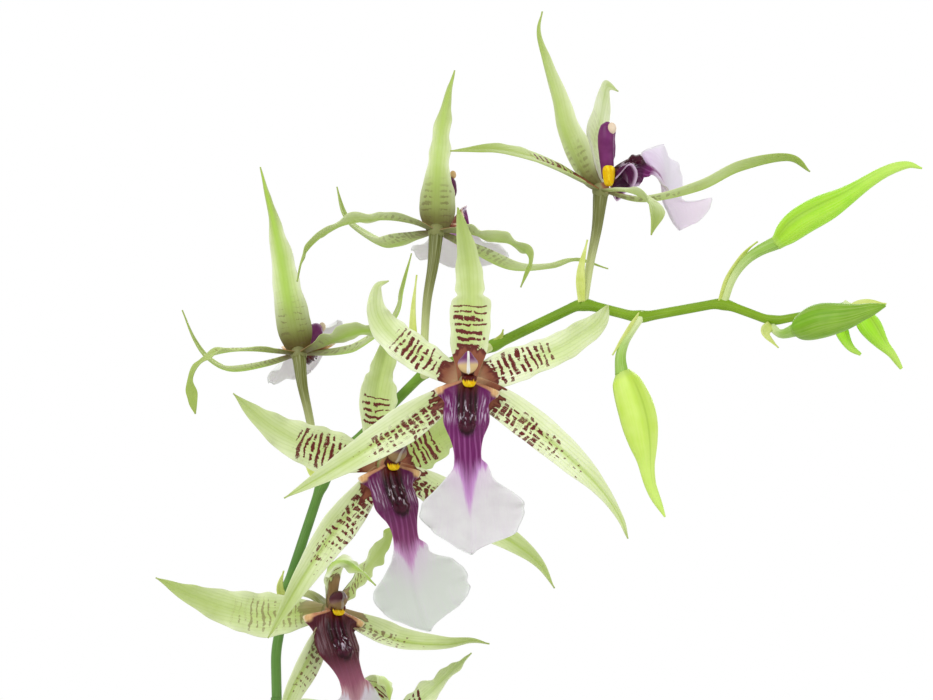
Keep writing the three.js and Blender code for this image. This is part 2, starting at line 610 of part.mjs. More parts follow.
// The plain hole in the bark that the stem's foot stands in
function stemHole() {
  const [x, y, foot] = stalkLine[0];
  const depth = barkLevel + barkMound + 4 - foot;
  const radius = stalkRadii[0] + 2 * gap;
  const hole = new THREE.CylinderGeometry(radius, radius, depth + gap, 10);
  hole.rotateX(Math.PI / 2);
  hole.translate(x + 0.1, y + 0.2, foot + (depth - gap) / 2);
  return solid(hole);
}

// A pseudobulb: a flattened egg with a narrow neck, its foot sunk in the bark
function pseudobulb({ foot, half, height, lean }, extra = 0) {
  const egg = new THREE.SphereGeometry(1, 11, 7);
  egg.rotateX(Math.PI / 2);
  const position = egg.attributes.position;
  for (let k = 0; k < position.count; k += 1) {
    const up = (position.getZ(k) + 1) / 2;
    const taper = 1.12 - 0.62 * up;
    const x = position.getX(k) * (half[0] * taper + extra) + lean[0] * up;
    const y = position.getY(k) * (half[1] * taper + extra) + lean[1] * up;
    const z = up * height + (2 * up - 1) * extra;
    position.setXYZ(k, foot[0] + x, foot[1] + y, barkLevel - plantDepth + z);
  }
  return solid(egg);
}

// A strap leaf, folded along its midrib and arching over
function leaf({ line, width }, extra = 0) {
  const middle = lineThrough(line);
  return sheet(leafRows, leafColumns, leafThickness + 2 * extra, (t, v) => {
    const { place, direction, side, normal } = frameAt(middle, t, new THREE.Vector3(0, 0, 1));
    const half = Math.max(0.6, (width / 2) * bladeWidth(t, 0.34, 0.42, 2)) + extra;
    const fold = leafFold + 0.5 * (1 - smooth(0, 0.3, t));
    if (t === 0) {
      place.addScaledVector(direction, -extra);
    }
    place.addScaledVector(side, v * half);
    return place.addScaledVector(normal, fold * Math.abs(v) * half);
  });
}

// The pot: a turned clay body with a heavy rim and drain holes in its floor
function pot() {
  const slope = (potTopRadius - potRimStep - potBaseRadius) / (potHeight - potRimHeight);
  const neck = potTopRadius - potRimStep;
  const outline = [
    [0, 0],
    [potBaseRadius - 1.5, 0],
    [potBaseRadius, 1.5],
    [neck - 1, potHeight - potRimHeight],
    [potTopRadius - 0.5, potHeight - potRimHeight + 1.5],
    [potTopRadius, potHeight - 1.5],
    [potTopRadius - 1.5, potHeight],
    [neck - potWall + 2, potHeight],
    [neck - potWall, potHeight - 3],
    [potBaseRadius - potWall + slope * potWall, potWall],
    [0, potWall],
  ];
  const points = outline.map(([radius, height]) => new THREE.Vector2(radius, height));
  const shell = new THREE.LatheGeometry(points, potSides);
  shell.rotateX(Math.PI / 2);
  let clay = solid(shell);
  for (let k = 0; k < drainCount; k += 1) {
    const turn = ((k + 0.5) / drainCount) * 2 * Math.PI;
    const drain = new THREE.CylinderGeometry(drainRadius, drainRadius, 4 * potWall, 12);
    drain.rotateX(Math.PI / 2);
    drain.translate(drainCircle * Math.cos(turn), drainCircle * Math.sin(turn), 0);
    clay = clay.subtract(solid(drain));
  }
  return clay;
}

// Repeatable draws between 0 and 1
function randomDraws(seed) {
  let state = seed;
  return () => {
    state = (state * 1664525 + 1013904223) % 4294967296;
    return state / 4294967296;
  };
}

// The bark that fills the pot: a body under the surface with loose chips sunk into its top
function bark() {
  const neck = potTopRadius - potRimStep;
  const wallTop = neck - potWall;
  const wallFoot = potBaseRadius - potWall + 1;
  const outline = [
    [0, potWall + gap],
    [wallFoot - 1.5, potWall + gap],
    [wallTop - 4, barkLevel - 4],
    [wallTop - 6, barkLevel - 2],
    [20, barkLevel + barkMound - 3],
    [0, barkLevel + barkMound - 3],
  ];
  const points = outline.map(([radius, height]) => new THREE.Vector2(radius, height));
  const fill = new THREE.LatheGeometry(points, 20);
  fill.rotateX(Math.PI / 2);
  const draw = randomDraws(7);
  const parts = [solid(fill)];
  for (let k = 0; k < chipCount; k += 1) {
    const out = (wallTop - 14) * Math.sqrt((k + 0.5) / chipCount);
    const round = k * goldenTurn;
    const chip = new THREE.BoxGeometry(...chipSize.map((size) => size * (0.75 + 0.5 * draw())));
    chip.rotateX(0.7 * (draw() - 0.5));
    chip.rotateY(0.7 * (draw() - 0.5));
    chip.rotateZ(Math.PI * draw());
    const lift = barkMound * (1 - out / wallTop) - 1.5;
    chip.translate(out * Math.cos(round), out * Math.sin(round), barkLevel + lift);
    parts.push(solid(chip));
  }
  return joined(parts);
}

// A solid as a named mesh with its own material
function mesh(name, body, colour, roughness) {
  const { vertProperties, triVerts } = body.getMesh();
  const geometry = new THREE.BufferGeometry();
  geometry.setAttribute("position", new THREE.BufferAttribute(vertProperties, 3));
  geometry.setIndex(new THREE.BufferAttribute(triVerts, 1));
  geometry.computeVertexNormals();
  const material = new THREE.MeshStandardMaterial({ color: colour, roughness, metalness: 0 });
  const made = new THREE.Mesh(geometry, material);
  made.name = name;
  return made;
}

const plant = new THREE.Group();
plant.add(mesh("pot", pot(), 0xb8674a, 0.9));

const rootHoles = [
  ...bulbs.map((shape) => pseudobulb(shape, curvedGap)),
  ...leaves.map((shape) => leaf(shape, 2 * gap)),
  stemHole(),
];
const bulbHoles = joined(bulbs.map((shape) => pseudobulb(shape, gap)));
plant.add(mesh("potting_bark", largest(bark().subtract(joined(rootHoles)), 0.2), 0x5a3a26, 0.95));
bulbs.forEach((shape, k) => {
  plant.add(mesh(`pseudobulb_${k + 1}`, pseudobulb(shape), 0x7f9a4a, 0.55));
});
leaves.forEach((shape, k) => {
  plant.add(mesh(`leaf_${k + 1}`, largest(leaf(shape).subtract(bulbHoles)), 0x4f7d35, 0.5));
});
plant.add(mesh("flower_stem", flowerStem(), 0x6f9637, 0.55));
for (const [name, shape] of Object.entries(buds)) {
  plant.add(mesh(name, bud(shape), 0xb9e04c, 0.5));
}
for (const [name, bloom] of Object.entries(blooms)) {
  const grownTepals = tepals(bloom, gap);
  const lipSolid = largest(lip(bloom).subtract(grownTepals));
  const columnSolid = largest(column(bloom).subtract(grownTepals).subtract(lip(bloom, curvedGap)));
  plant.add(mesh(`${name}_tepals`, largest(tepals(bloom)), 0xd7e6a5, 0.55));
  plant.add(mesh(`${name}_lip`, lipSolid, 0xe6e1e6, 0.55));
  plant.add(mesh(`${name}_column`, columnSolid, 0x7a2b66, 0.5));
}

export default plant;
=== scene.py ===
# The looks of a potted orchid: its spray of open blooms and buds, its stem, bulbs and leaves, and the
# clay pot of bark. Points are in millimetres in the part's own frame, as [right, away, up].
import math

import bpy
import numpy as np
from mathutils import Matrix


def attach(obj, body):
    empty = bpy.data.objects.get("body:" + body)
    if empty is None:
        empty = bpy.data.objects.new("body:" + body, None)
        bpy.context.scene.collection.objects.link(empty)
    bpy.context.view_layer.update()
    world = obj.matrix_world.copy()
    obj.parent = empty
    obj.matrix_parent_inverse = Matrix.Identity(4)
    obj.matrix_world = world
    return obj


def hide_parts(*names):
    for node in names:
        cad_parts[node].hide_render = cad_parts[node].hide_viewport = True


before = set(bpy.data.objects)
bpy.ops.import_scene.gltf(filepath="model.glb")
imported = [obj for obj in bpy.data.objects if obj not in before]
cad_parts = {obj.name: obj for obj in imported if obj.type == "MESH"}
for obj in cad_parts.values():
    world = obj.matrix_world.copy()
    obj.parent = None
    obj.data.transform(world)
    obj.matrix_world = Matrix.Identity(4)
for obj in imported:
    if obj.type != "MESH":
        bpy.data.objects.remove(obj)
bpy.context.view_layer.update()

MM = 0.001

# Camera and studio
CAMERA_PLACE = (14.9, -930.0, 507.0)
FOCAL_PIXELS = 4140.0
IMAGE_WIDTH = 933.0
SENSOR_WIDTH = 36.0
FLOOR_RADIUS = 2600.0

# Tepals: widest width, share of it at the claw, place of the widest, how late they narrow, and how
# much they wave and fold
TEPAL_KINDS = {
    "dorsal": {"width": 9.3, "claw": 0.5, "peak": 0.28, "fall": 1.0, "wave": 0.45, "fold": 0.3},
    "petal": {"width": 10.0, "claw": 0.42, "peak": 0.36, "fall": 1.5, "wave": 0.5, "fold": 0.12},
    "sepal": {"width": 8.2, "claw": 0.5, "peak": 0.36, "fall": 1.4, "wave": 0.0, "fold": 0.3},
}

# Tepals of an outline of their own, as (place along, half width in mm)
TEPAL_OUTLINES = {
    ("bloom_1", "dorsal"): [
        (0, 2.0), (0.08, 2.7), (0.14, 3.5), (0.2, 4.1), (0.28, 4.3), (0.36, 4.4), (0.44, 4.45),
        (0.47, 3.9), (0.49, 2.8), (0.52, 3.25), (0.58, 3.05), (0.64, 2.9), (0.75, 2.2), (0.87, 1.4),
        (0.95, 0.7), (1, 0.12),
    ],
    ("bloom_1", "petal_l"): [
        (0, 1.8), (0.15, 2.7), (0.35, 3.7), (0.5, 3.7), (0.65, 3.1), (0.78, 2.0), (0.88, 1.15), (1, 0.12),
    ],
    ("bloom_1", "petal_r"): [
        (0, 1.8), (0.12, 3.0), (0.22, 3.8), (0.45, 3.5), (0.65, 3.2), (0.8, 2.7), (0.9, 1.9), (0.96, 1.0),
        (1, 0.12),
    ],
    ("bloom_1", "sepal_r"): [
        (0, 2.0), (0.1, 3.0), (0.3, 3.75), (0.5, 3.4), (0.62, 2.8), (0.72, 1.9), (0.85, 1.0), (0.95, 0.5),
        (1, 0.12),
    ],
    ("bloom_2", "dorsal"): [
        (0, 2.2), (0.1, 3.1), (0.2, 4.1), (0.35, 4.35), (0.5, 4.3), (0.56, 3.8), (0.59, 2.95), (0.63, 3.0),
        (0.75, 2.4), (0.88, 1.3), (1, 0.12),
    ],
    ("bloom_3", "petal_r"): [(0, 1.6), (0.2, 2.6), (0.5, 3.3), (0.8, 3.2), (0.93, 2.3), (1, 0.3)],
    ("bloom_4", "dorsal"): [
        (0, 2.2), (0.095, 3.9), (0.23, 3.95), (0.365, 3.3), (0.46, 2.9), (0.6, 2.2), (0.73, 1.2),
        (0.865, 0.6), (1, 0.12),
    ],
    ("bloom_4", "petal_l"): [
        (0, 1.2), (0.3, 2.2), (0.55, 2.0), (0.7, 0.9), (0.76, 0.8), (0.86, 1.5), (0.93, 1.2), (1, 0.12),
    ],
    ("bloom_4", "sepal_l"): [(0, 1.2), (0.3, 1.7), (0.6, 1.7), (0.8, 1.0), (1, 0.12)],
    ("bloom_5", "dorsal"): [
        (0, 2.4), (0.09, 4.0), (0.2, 4.1), (0.29, 3.5), (0.42, 2.4), (0.48, 2.65), (0.57, 2.0), (0.63, 2.1),
        (0.785, 1.1), (1, 0.12),
    ],
    ("bloom_6", "sepal_l"): [
        (0, 0.9), (0.2, 0.6), (0.4, 1.0), (0.52, 2.4), (0.68, 3.2), (0.84, 2.2), (1, 0.12),
    ],
    ("bloom_6", "sepal_r"): [
        (0, 1.3), (0.15, 1.5), (0.3, 2.3), (0.5, 3.4), (0.7, 3.2), (0.85, 2.2), (1, 0.12),
    ],
}

# Marks of each kind: where the patch at the root ends in mm, where the bars end as a share of the
# length, and 1 where they break up into spots. How pale the blade is comes next.
TEPAL_MARKS = {"dorsal": (7.8, 0.46, 0.0), "petal": (6.8, 0.54, 0.0), "sepal": (8.6, 0.62, 1.0)}
TEPAL_LIGHT = {"dorsal": 0.1, "petal": 1.0, "sepal": 0.45}
BAR_SPACING = 1.45

# The sign of the across share on the side of a lateral sepal that hangs lower
LOWER_SIDE = {"sepal_l": -1.0, "sepal_r": 1.0}
TEPAL_NAMES = ["dorsal", "petal_l", "petal_r", "sepal_l", "sepal_r"]
TEPAL_NECK = 0.62
TEPAL_WAVES = 4.0
TEPAL_RUFFLES = [(6.5, 0.5), (11.0, 0.12)]
TEPAL_ROWS = 96
TEPAL_COLUMNS = 21
TEPAL_DEPTH = 0.34
HEART_RADIUS = 2.7

# Lip: share of its half width at each place along it, on either side
LIP_HALF_WIDTH = 11.5
LIP_ROOT = [
    (0, 0.16), (0.02, 0.34), (0.035, 0.58), (0.06, 0.6), (0.085, 0.5), (0.1, 0.47), (0.17, 0.475),
    (0.25, 0.47), (0.3, 0.41), (0.356, 0.325), (0.41, 0.27),
]
LIP_RIGHT = LIP_ROOT + [
    (0.45, 0.255), (0.475, 0.27), (0.49, 0.33), (0.53, 0.4), (0.58, 0.48), (0.61, 0.6), (0.64, 0.76),
    (0.69, 0.94), (0.755, 1.04), (0.84, 0.94), (0.915, 0.68), (0.945, 0.36), (0.975, 0.12), (1, 0.02),
]
LIP_LEFT = LIP_ROOT + [
    (0.47, 0.262), (0.52, 0.3), (0.58, 0.48), (0.64, 0.68), (0.69, 0.88), (0.75, 0.95), (0.82, 0.84),
    (0.88, 0.69), (0.935, 0.42), (0.975, 0.22), (1, 0.02),
]
LIP_ROOT_END = 0.36
LIP_ROOT_ROWS = 62
LIP_BLADE_ROWS = 70
LIP_COLUMNS = 49
LIP_DEPTH = 0.3
LIP_FOLD = 6
SHOULDER_FOLD = 24
MARGIN_START = 0.42

# Ripples along an edge, as (cycles, size), and the callus's knobs, as (place along, mm aside, size, height)
LIP_RUFFLES = [(5.5, 0.5), (9.5, 0.34), (17.0, 0.16)]
CALLUS_RIDGE_SPACING = 1.15
CALLUS_KNOBS = [
    (0.305, 0.0, 0.75, 0.9), (0.285, 1.15, 0.6, 0.8), (0.285, -1.15, 0.6, 0.8), (0.22, 1.3, 0.5, 0.6),
    (0.22, -1.3, 0.5, 0.6), (0.25, 0.0, 0.55, 0.7), (0.33, 0.75, 0.45, 0.5), (0.33, -0.75, 0.45, 0.5),
]

# Column: radius at each place along it, for one that carries a cap and for one that ends in a point
CAPPED_RADII = [
    (0, 1.25), (0.2, 1.35), (0.42, 1.5), (0.6, 1.7), (0.76, 1.75), (0.88, 1.5), (0.95, 1.1), (1, 0.3),
]
POINTED_RADII = [
    (0, 1.25), (0.2, 1.45), (0.4, 1.75), (0.52, 1.8), (0.65, 1.5), (0.76, 1.2), (0.87, 0.85), (0.95, 0.5),
    (1, 0.12),
]
COLUMN_DEPTH = 1.1
COLUMN_TIP_START = 0.85

# Open blooms. Heart and pedicel are in the part's own frame, and the other points run from the heart.
# facing, column_facing: the way the bloom looks, and its column's under side.
# turned: the way a tepal looks at its root and at its tip, where that isn't the bloom's own way.
# calm: the share of the usual waves at the tepals' edges.
# light: how pale a tepal is, 1 the palest and below 0 olive; partly the tepal's own tone and partly
# painted light and shade for how it lies to the light. faint: how far its marks have faded.
# rib: how bright the midribs are behind. warm, dusky: how brown the lip is, and the column; warm also
# greys the lip's blade with painted shade.
# lip_side, blade_side: the side of the lip at its root, and of its blade where that is another.
# lip_root: share of the width there. lip_fold, shoulder_fold: degrees that blade and shoulders fold.
# margins: the far and the near edge of a blade drawn between them.
# flaps: -0.5 on a lip whose root is tan behind, -1 on one with a lilac rim and no tan flaps.
# column: its tip. cap: how far from the tip its cap lies, and the cap's radius.
# knob: place and half sizes of the yellow knob. plain_knob: how far its maroon ticks are left off.
BLOOMS = {
    "bloom_1": {
        "heart": [15, -30, 500], "facing": [0.05, -1, 0.12], "light": {"sepal_l": 0.7, "sepal_r": 1.0},
        "dorsal": [[0.5, 0.5, 9], [0.7, 2, 18], [0, 2, 28], [-2, 0, 38]],
        "petal_l": [[-9, 1, 5], [-16, 2, 10], [-19.5, 1, 15], [-19.5, -1, 20.5], [-17, -2.5, 22]],
        "petal_r": [[11.5, 1, 4.1], [19, 1.5, 6.9], [23.6, 1, 9.5], [28.4, 0, 13], [30.7, -1, 16.8]],
        "sepal_l": [[-10, -1, -7], [-21, -3, -14], [-30, -5, -19.5], [-39.5, -6, -25]],
        "sepal_r": [[10, -1, -6.5], [19, -2, -13.5], [28, -2, -22], [33, -1, -29], [35, 0, -34]],
        "lip": [
            [0, -6.5, -5], [0, -8.5, -11], [0.3, -8.5, -18], [0.5, -7.5, -25], [0.8, -7, -31],
            [1, -8, -37],
        ],
        "lip_side": [1, 0.05, 0],
        "column": [0.3, -10, 6.6], "knob": [[0.5, -5.6, 0.3], [1.55, 1.1, 1.35]],
        "pedicel": [[21, -13, 508], [18.6, -15.5, 506.6], [16.2, -21.5, 502.6]],
    },
    "bloom_2": {
        "heart": [-3.5, -14, 481.5], "facing": [0.42, -1, 0.05], "warm": 0.3, "dusky": 0.9,
        "rib": 0.55, "light": {"petal_r": -0.5, "petal_l": 0.4},
        "dorsal": [[-1.3, 1, 8.5], [-1.7, 4, 15], [0, 9, 24], [1.5, 15, 30.5]],
        "petal_l": [[-7.5, -2, 2], [-16.5, -5, 4.5], [-24, -8, 8.5], [-29.5, -10, 13], [-32.5, -12, 16]],
        "petal_r": [[7, 4, 3], [13, 9, 7], [18, 14, 9.5], [21, 19, 11]],
        "sepal_l": [[-5, -3, -7], [-12, -6, -16], [-18.5, -9, -26], [-25, -11, -37.5]],
        "sepal_r": [[10, 2, -5], [19, 4, -11.5], [29, 5, -17.5], [34.5, 5, -22], [38, 5, -27.5]],
        "lip": [
            [2.5, -6, -4.5], [4.5, -9, -11], [5.5, -9.5, -18], [7, -9, -24], [8.5, -9, -30],
            [10.5, -10, -36],
        ],
        "lip_side": [0.9, 0.35, 0.27],
        "column": [5, -11, 5], "knob": [[2.4, -5.4, 0.3], [1.45, 1.1, 1.3]],
        "pedicel": [[-11, 5, 485], [-8, -2, 484.5], [-5.5, -9, 483]],
    },
    "bloom_3": {
        "heart": [-16, 0, 448.5], "facing": [0.5, -1, 0.1], "warm": 1.0, "dusky": 1.0,
        "rib": 0.9, "light": {"petal_l": 0.2, "petal_r": -0.3},
        "faint": {"petal_l": 0.5, "petal_r": 0.3, "sepal_l": 0.2, "sepal_r": 0.3, "dorsal": 0.2},
        "dorsal": [[0, -1, 5], [0.5, -5, 10], [4, -13, 11.5], [8, -20, 9.5], [11, -24, 7]],
        "petal_l": [[-6.5, -2, -0.5], [-16.5, -5, -0.5], [-28, -9, 3], [-38, -12, 8]],
        "petal_r": [[4, 3, 4], [7.5, 8, 8.5], [11, 14, 13], [14, 20, 17]],
        "sepal_l": [[-2, -3, -5], [-5, -6, -11], [-8.5, -9, -18], [-11, -11, -25], [-13, -13, -33]],
        "sepal_r": [[9.5, 0, -4.5], [16.5, -2, -7], [26, -4, -7.5], [32, -6, -6.5], [36, -7, -7]],
        "turned": {
            "dorsal": [[0.9, -0.4, 0.1], [-0.45, 0.35, -0.8]],
            "petal_r": [[1, 0, 0.05], [1, 0, 0.05]],
            "sepal_r": [[0.2, -0.6, 0.8], [0.2, -0.6, 0.8]],
            "sepal_l": [[0.9, -0.5, 0.1], [0.9, -0.5, 0.1]],
        },
        "lip": [
            [2, -6, -4], [4, -9, -10], [6, -9.5, -17], [6.5, -9, -23], [8, -9, -29], [9.5, -10, -35],
        ],
        "lip_side": [0.9, 0.4, 0.1],
        "column": [3.5, -10, 4.5], "knob": [[2.4, -5.1, 0.45], [1.45, 1.1, 1.3]],
        "pedicel": [[-26, 12, 452.5], [-22, 9, 452], [-19, 6, 451]],
    },
    "bloom_4": {
        "heart": [-24, 30, 506], "facing": [0.35, 1, 0.35], "rib": 0.85, "cap": [0.9, 0, -0.1, 0.85],
        "light": {"petal_l": -0.7, "petal_r": -0.4, "sepal_l": -0.6, "sepal_r": -0.5},
        "dorsal": [[-2, -1, 10], [-3.5, -1, 19], [-5.5, 0, 29.5], [-9, 2, 43.5]],
        "petal_l": [[-10, -3, 1.2], [-17, -5, 0.8], [-22, -7, -1.2], [-24.5, -8, -6], [-23.4, -9, -13.7]],
        "petal_r": [[4, -1, 1.6], [11, -3, 4.4], [16.7, -5, 5.6], [20, -7, 3], [20.5, -8, -2]],
        "sepal_l": [[-9, 9, -2.6], [-17, 19, -3.6], [-22.5, 24, -1], [-26, 27, 3.5], [-29, 29, 10.5]],
        "sepal_r": [[9.7, 9, 0.5], [14.4, 14, 2.3], [21.8, 21, 8.6], [23.7, 24, 15.5], [25.8, 26, 24]],
        "turned": {
            "dorsal": [[0.2, 1, 0], [0.3, 1, 0]],
            "petal_l": [[0, 0.3, 1], [-0.5, -0.6, 0.5]],
            "petal_r": [[0, 0.05, 1], [0.8, 0.15, 0.6]],
            "sepal_l": [[0, 0, 1], [0.5, 0, 0.85]],
            "sepal_r": [[0, 0, 1], [-0.6, 0.3, 0.7]],
        },
        "lip": [[2, 6, -1], [1.5, 12, 0.5], [0.3, 17.5, 2.5], [-0.5, 21, 2], [0, 24, 0], [2, 27.5, -4]],
        "lip_side": [0.95, -0.33, 0], "blade_side": [0.77, 0.05, 0.62], "shoulder_fold": 58,
        "column": [4.2, 9.5, 6.5], "knob": [[1.6, 4.6, 1.6], [1.5, 1.1, 1]],
        "pedicel": [[-18, 9, 476.5], [-20.5, 18, 488.5], [-21.5, 21, 493], [-23, 26, 499]],
    },
    "bloom_5": {
        "heart": [8, 15, 534], "facing": [0.3, 1, 0.6], "rib": 0.3, "cap": [0.4, 0, 0.6, 0.75],
        "light": {"petal_l": -0.3, "petal_r": -0.35, "sepal_l": -0.35, "sepal_r": -0.35},
        "dorsal": [[0, -1, 7], [0.3, -2, 14], [1, -1, 22], [2.5, 1, 30.5], [4.2, 3, 37]],
        "petal_l": [[-6.5, -1, 2.5], [-14, -2, 3], [-23, -4, 1], [-29.5, -6, -4.5], [-31.5, -7, -11.5]],
        "petal_r": [[7, -1, 0], [12.3, -2, -1.5], [17, -3, -2.5], [21.4, -5, -6], [19.2, -6, -12.8]],
        "sepal_l": [[-6.4, 9, -1.6], [-12, 16, -2.7], [-19, 24, 1.4], [-22, 27, 5], [-23.6, 30, 11.4]],
        "sepal_r": [[8, 5, -4], [17, 11, -8], [26.7, 17, -7.6], [32.4, 20, -6], [40, 23, -8]],
        "turned": {
            "dorsal": [[0.2, 1, 0], [0.3, 1, 0]],
            "petal_l": [[0, 0.05, 1], [-0.8, 0.15, 0.6]],
            "petal_r": [[0, 0.1, 1], [0.8, 0.25, 0.6]],
            "sepal_l": [[0, 0, 1], [0.5, 0, 0.85]],
            "sepal_r": [[0, 0, 1], [0, 0, 1]],
        },
        "lip": [
            [3, 5.5, 2.5], [4.2, 10.5, 3], [4.8, 15, 1.5], [4.8, 19, -1], [4.8, 23.5, -4],
            [4.8, 28, -7.5],
        ],
        "lip_side": [1, 0, -0.05], "shoulder_fold": 50, "lip_root": 0.86, "flaps": -0.5,
        "dusky": 0.6, "column": [3.4, 5, 12.6], "knob": [[1.5, 4.4, 2.6], [1.5, 1.1, 1]],
        "pedicel": [[5.5, -6, 502], [5.5, 4, 510.5], [6, 9, 518.5], [7.3, 13, 526.5]],
    },
    "bloom_6": {
        "heart": [44.2, -28, 541.7], "facing": [0.72, -0.42, 0.6], "rib": 0.12,
        "calm": 0.15, "light": {"petal_l": -0.6, "sepal_r": -0.4, "sepal_l": -0.2},
        "faint": {"petal_r": 0.9, "dorsal": 0.2}, "cap": [0.9, -1.0, -1.5, 0.98],
        "column_facing": [1, 0.2, 0.2], "plain_knob": 0.4,
        "dorsal": [[-3.8, 0.5, 4], [-7.9, 1, 13.5], [-9.6, 1, 20.4], [-13.5, 0, 33.3], [-12.8, -1, 39]],
        "petal_l": [[-8.8, -4, 4.4], [-16.7, -9, 7.2], [-23.3, -12, 8.4], [-32.8, -14, 8]],
        "petal_r": [[-1.5, 6, 10], [0, 10, 16], [1, 14, 21], [2, 18, 24], [4.5, 21, 23]],
        "sepal_l": [[4, -10, 0], [7.5, -17, -1.3], [10, -25, -4], [10, -30, -7], [9.5, -33, -10.5]],
        "sepal_r": [[9.2, -1, -2], [21.3, -1.5, 0.4], [30.2, 0, 4.6], [40.9, 2, 6.9], [45.8, 3, 4.3]],
        "turned": {
            "dorsal": [[0.75, 0.6, 0.25], [0.8, 0.5, 0.3]],
            "petal_l": [[0.3, -0.2, 1], [0.2, -0.5, 1]],
            "petal_r": [[0.9, -0.3, 0.1], [0.8, -0.5, 0.2]],
            "sepal_l": [[0.1, 0, 1], [0.9, -0.1, 0.6]],
            "sepal_r": [[-0.2, 0.1, 1], [-0.1, 0.4, 1]],
        },
        "lip": [
            [3.5, 0, 3.8], [6.5, 0, 5.6], [9.3, 0.3, 5.8], [11, 0.7, 4.9], [12, 1.2, 4], [13.2, 2, 2.6],
            [14, 3, 0.6], [14.6, 4.4, -1.9], [15.8, 5.6, -4.7], [17.1, 6.6, -6.8], [17.9, 7.4, -8.1],
        ],
        "margins": [
            [
                [9.5, 3, 6.6], [9.2, 5.5, 8.7], [11.5, 8.5, 9.9], [14.2, 10.5, 10.3], [16.7, 11, 7.2],
                [18, 11, 3.9], [18.4, 10.5, 0.6], [18.6, 9.5, -2.8], [18.5, 8.5, -5.9], [17.9, 7.4, -8.1],
            ],
            [
                [10.6, -1.6, 4.9], [12.2, -1, 3.2], [13.8, 0.6, 1.1], [15.8, 2.6, -0.8], [18.7, 4, -2],
                [21.6, 5, -2.1], [24.5, 5.6, -1.6], [23.9, 6, -4], [21.9, 6.6, -6.3], [19.8, 7, -7.5],
                [17.9, 7.4, -8.1],
            ],
        ],
        "lip_side": [0.1, 1, 0.1], "lip_fold": 0, "shoulder_fold": 60, "flaps": -1.0,
        "column": [1.4, -1, 15], "knob": [[1.6, -2.9, 3.1], [1.3, 1, 2.3]],
        "pedicel": [[40.5, -27, 517.5], [41.8, -27, 525.5], [43.3, -28, 533.5]],
    },
    "bloom_7": {
        "heart": [-6, 10, 417.5], "facing": [-0.45, -0.9, 0.15],
        "dorsal": [[0, -2, 7], [0.5, -6, 13], [2, -13, 16], [3.5, -21, 15], [4, -28, 12]],
        "petal_l": [[-7, 4, 3], [-15, 6, 5.5], [-23, 7, 5.5], [-30, 7, 3]],
        "petal_r": [[5.5, -2, 5.5], [11.5, -5, 11], [17, -8, 16.5], [22, -11, 21.5]],
        "sepal_l": [[-6, 2, -8], [-13, 4, -17], [-18, 5, -26], [-21, 6, -36]],
        "sepal_r": [[5, -3, -7], [11, -7, -15], [16, -10, -23], [19, -12, -33]],
        "turned": {
            "dorsal": [[-0.4, -0.9, 0.1], [-0.1, -0.2, -1]],
            "petal_r": [[-0.85, -0.35, 0.35], [-0.85, -0.35, 0.35]],
        },
        "lip": [
            [-2.5, -6, -4.5], [-4.5, -9, -11], [-5.5, -9.5, -18], [-5.5, -9, -24], [-5, -9, -30],
            [-4.5, -10, -36],
        ],
        "lip_side": [0.9, -0.42, 0], "shoulder_fold": 58,
        "column": [-5, -8, 9.5], "knob": [[-2, -4.4, 0.8], [1.6, 1.1, 0.9]],
        "pedicel": [[-28.5, 12, 412], [-20, 14, 414.5], [-12, 14, 416.5]],
    },
}

# Flower stem: the stalk from the bark to the first bloom, and the zigzag spray beyond it
STALK_LINE = [
    [-20, 7, 95], [-19.5, 8, 130], [-18, 10, 200], [-19, 12, 280], [-24, 13, 360], [-28.5, 12, 428],
]
SPRAY_NODES = [
    [-28, 12.5, 415], [-28.5, 12, 438], [-26, 12, 452.5], [-18, 9, 476.5], [-11, 5, 485.5],
    [5.5, -5, 502], [21, -13, 508], [40, -27, 517.2], [52.5, -28, 514], [70.5, -28, 517.3],
    [81.5, -28, 513.2], [95, -28, 515.8], [98, -29, 516.5],
]
SPRAY_BEND = 2.2
STALK_RADII = [2.3, 2.25, 2.1, 1.85, 1.5, 1.15]
SPRAY_RADII = [1.15, 1.15, 1.1, 1.1, 1.12, 1.05, 0.8]
PEDICEL_RADII = [0.95, 0.9, 0.95, 1.15, 1.6]
BUD_STALK_RADII = [0.95, 0.9, 0.95, 1.15, 1.5]
STEM_FACING = [0.3, 1, 0.1]

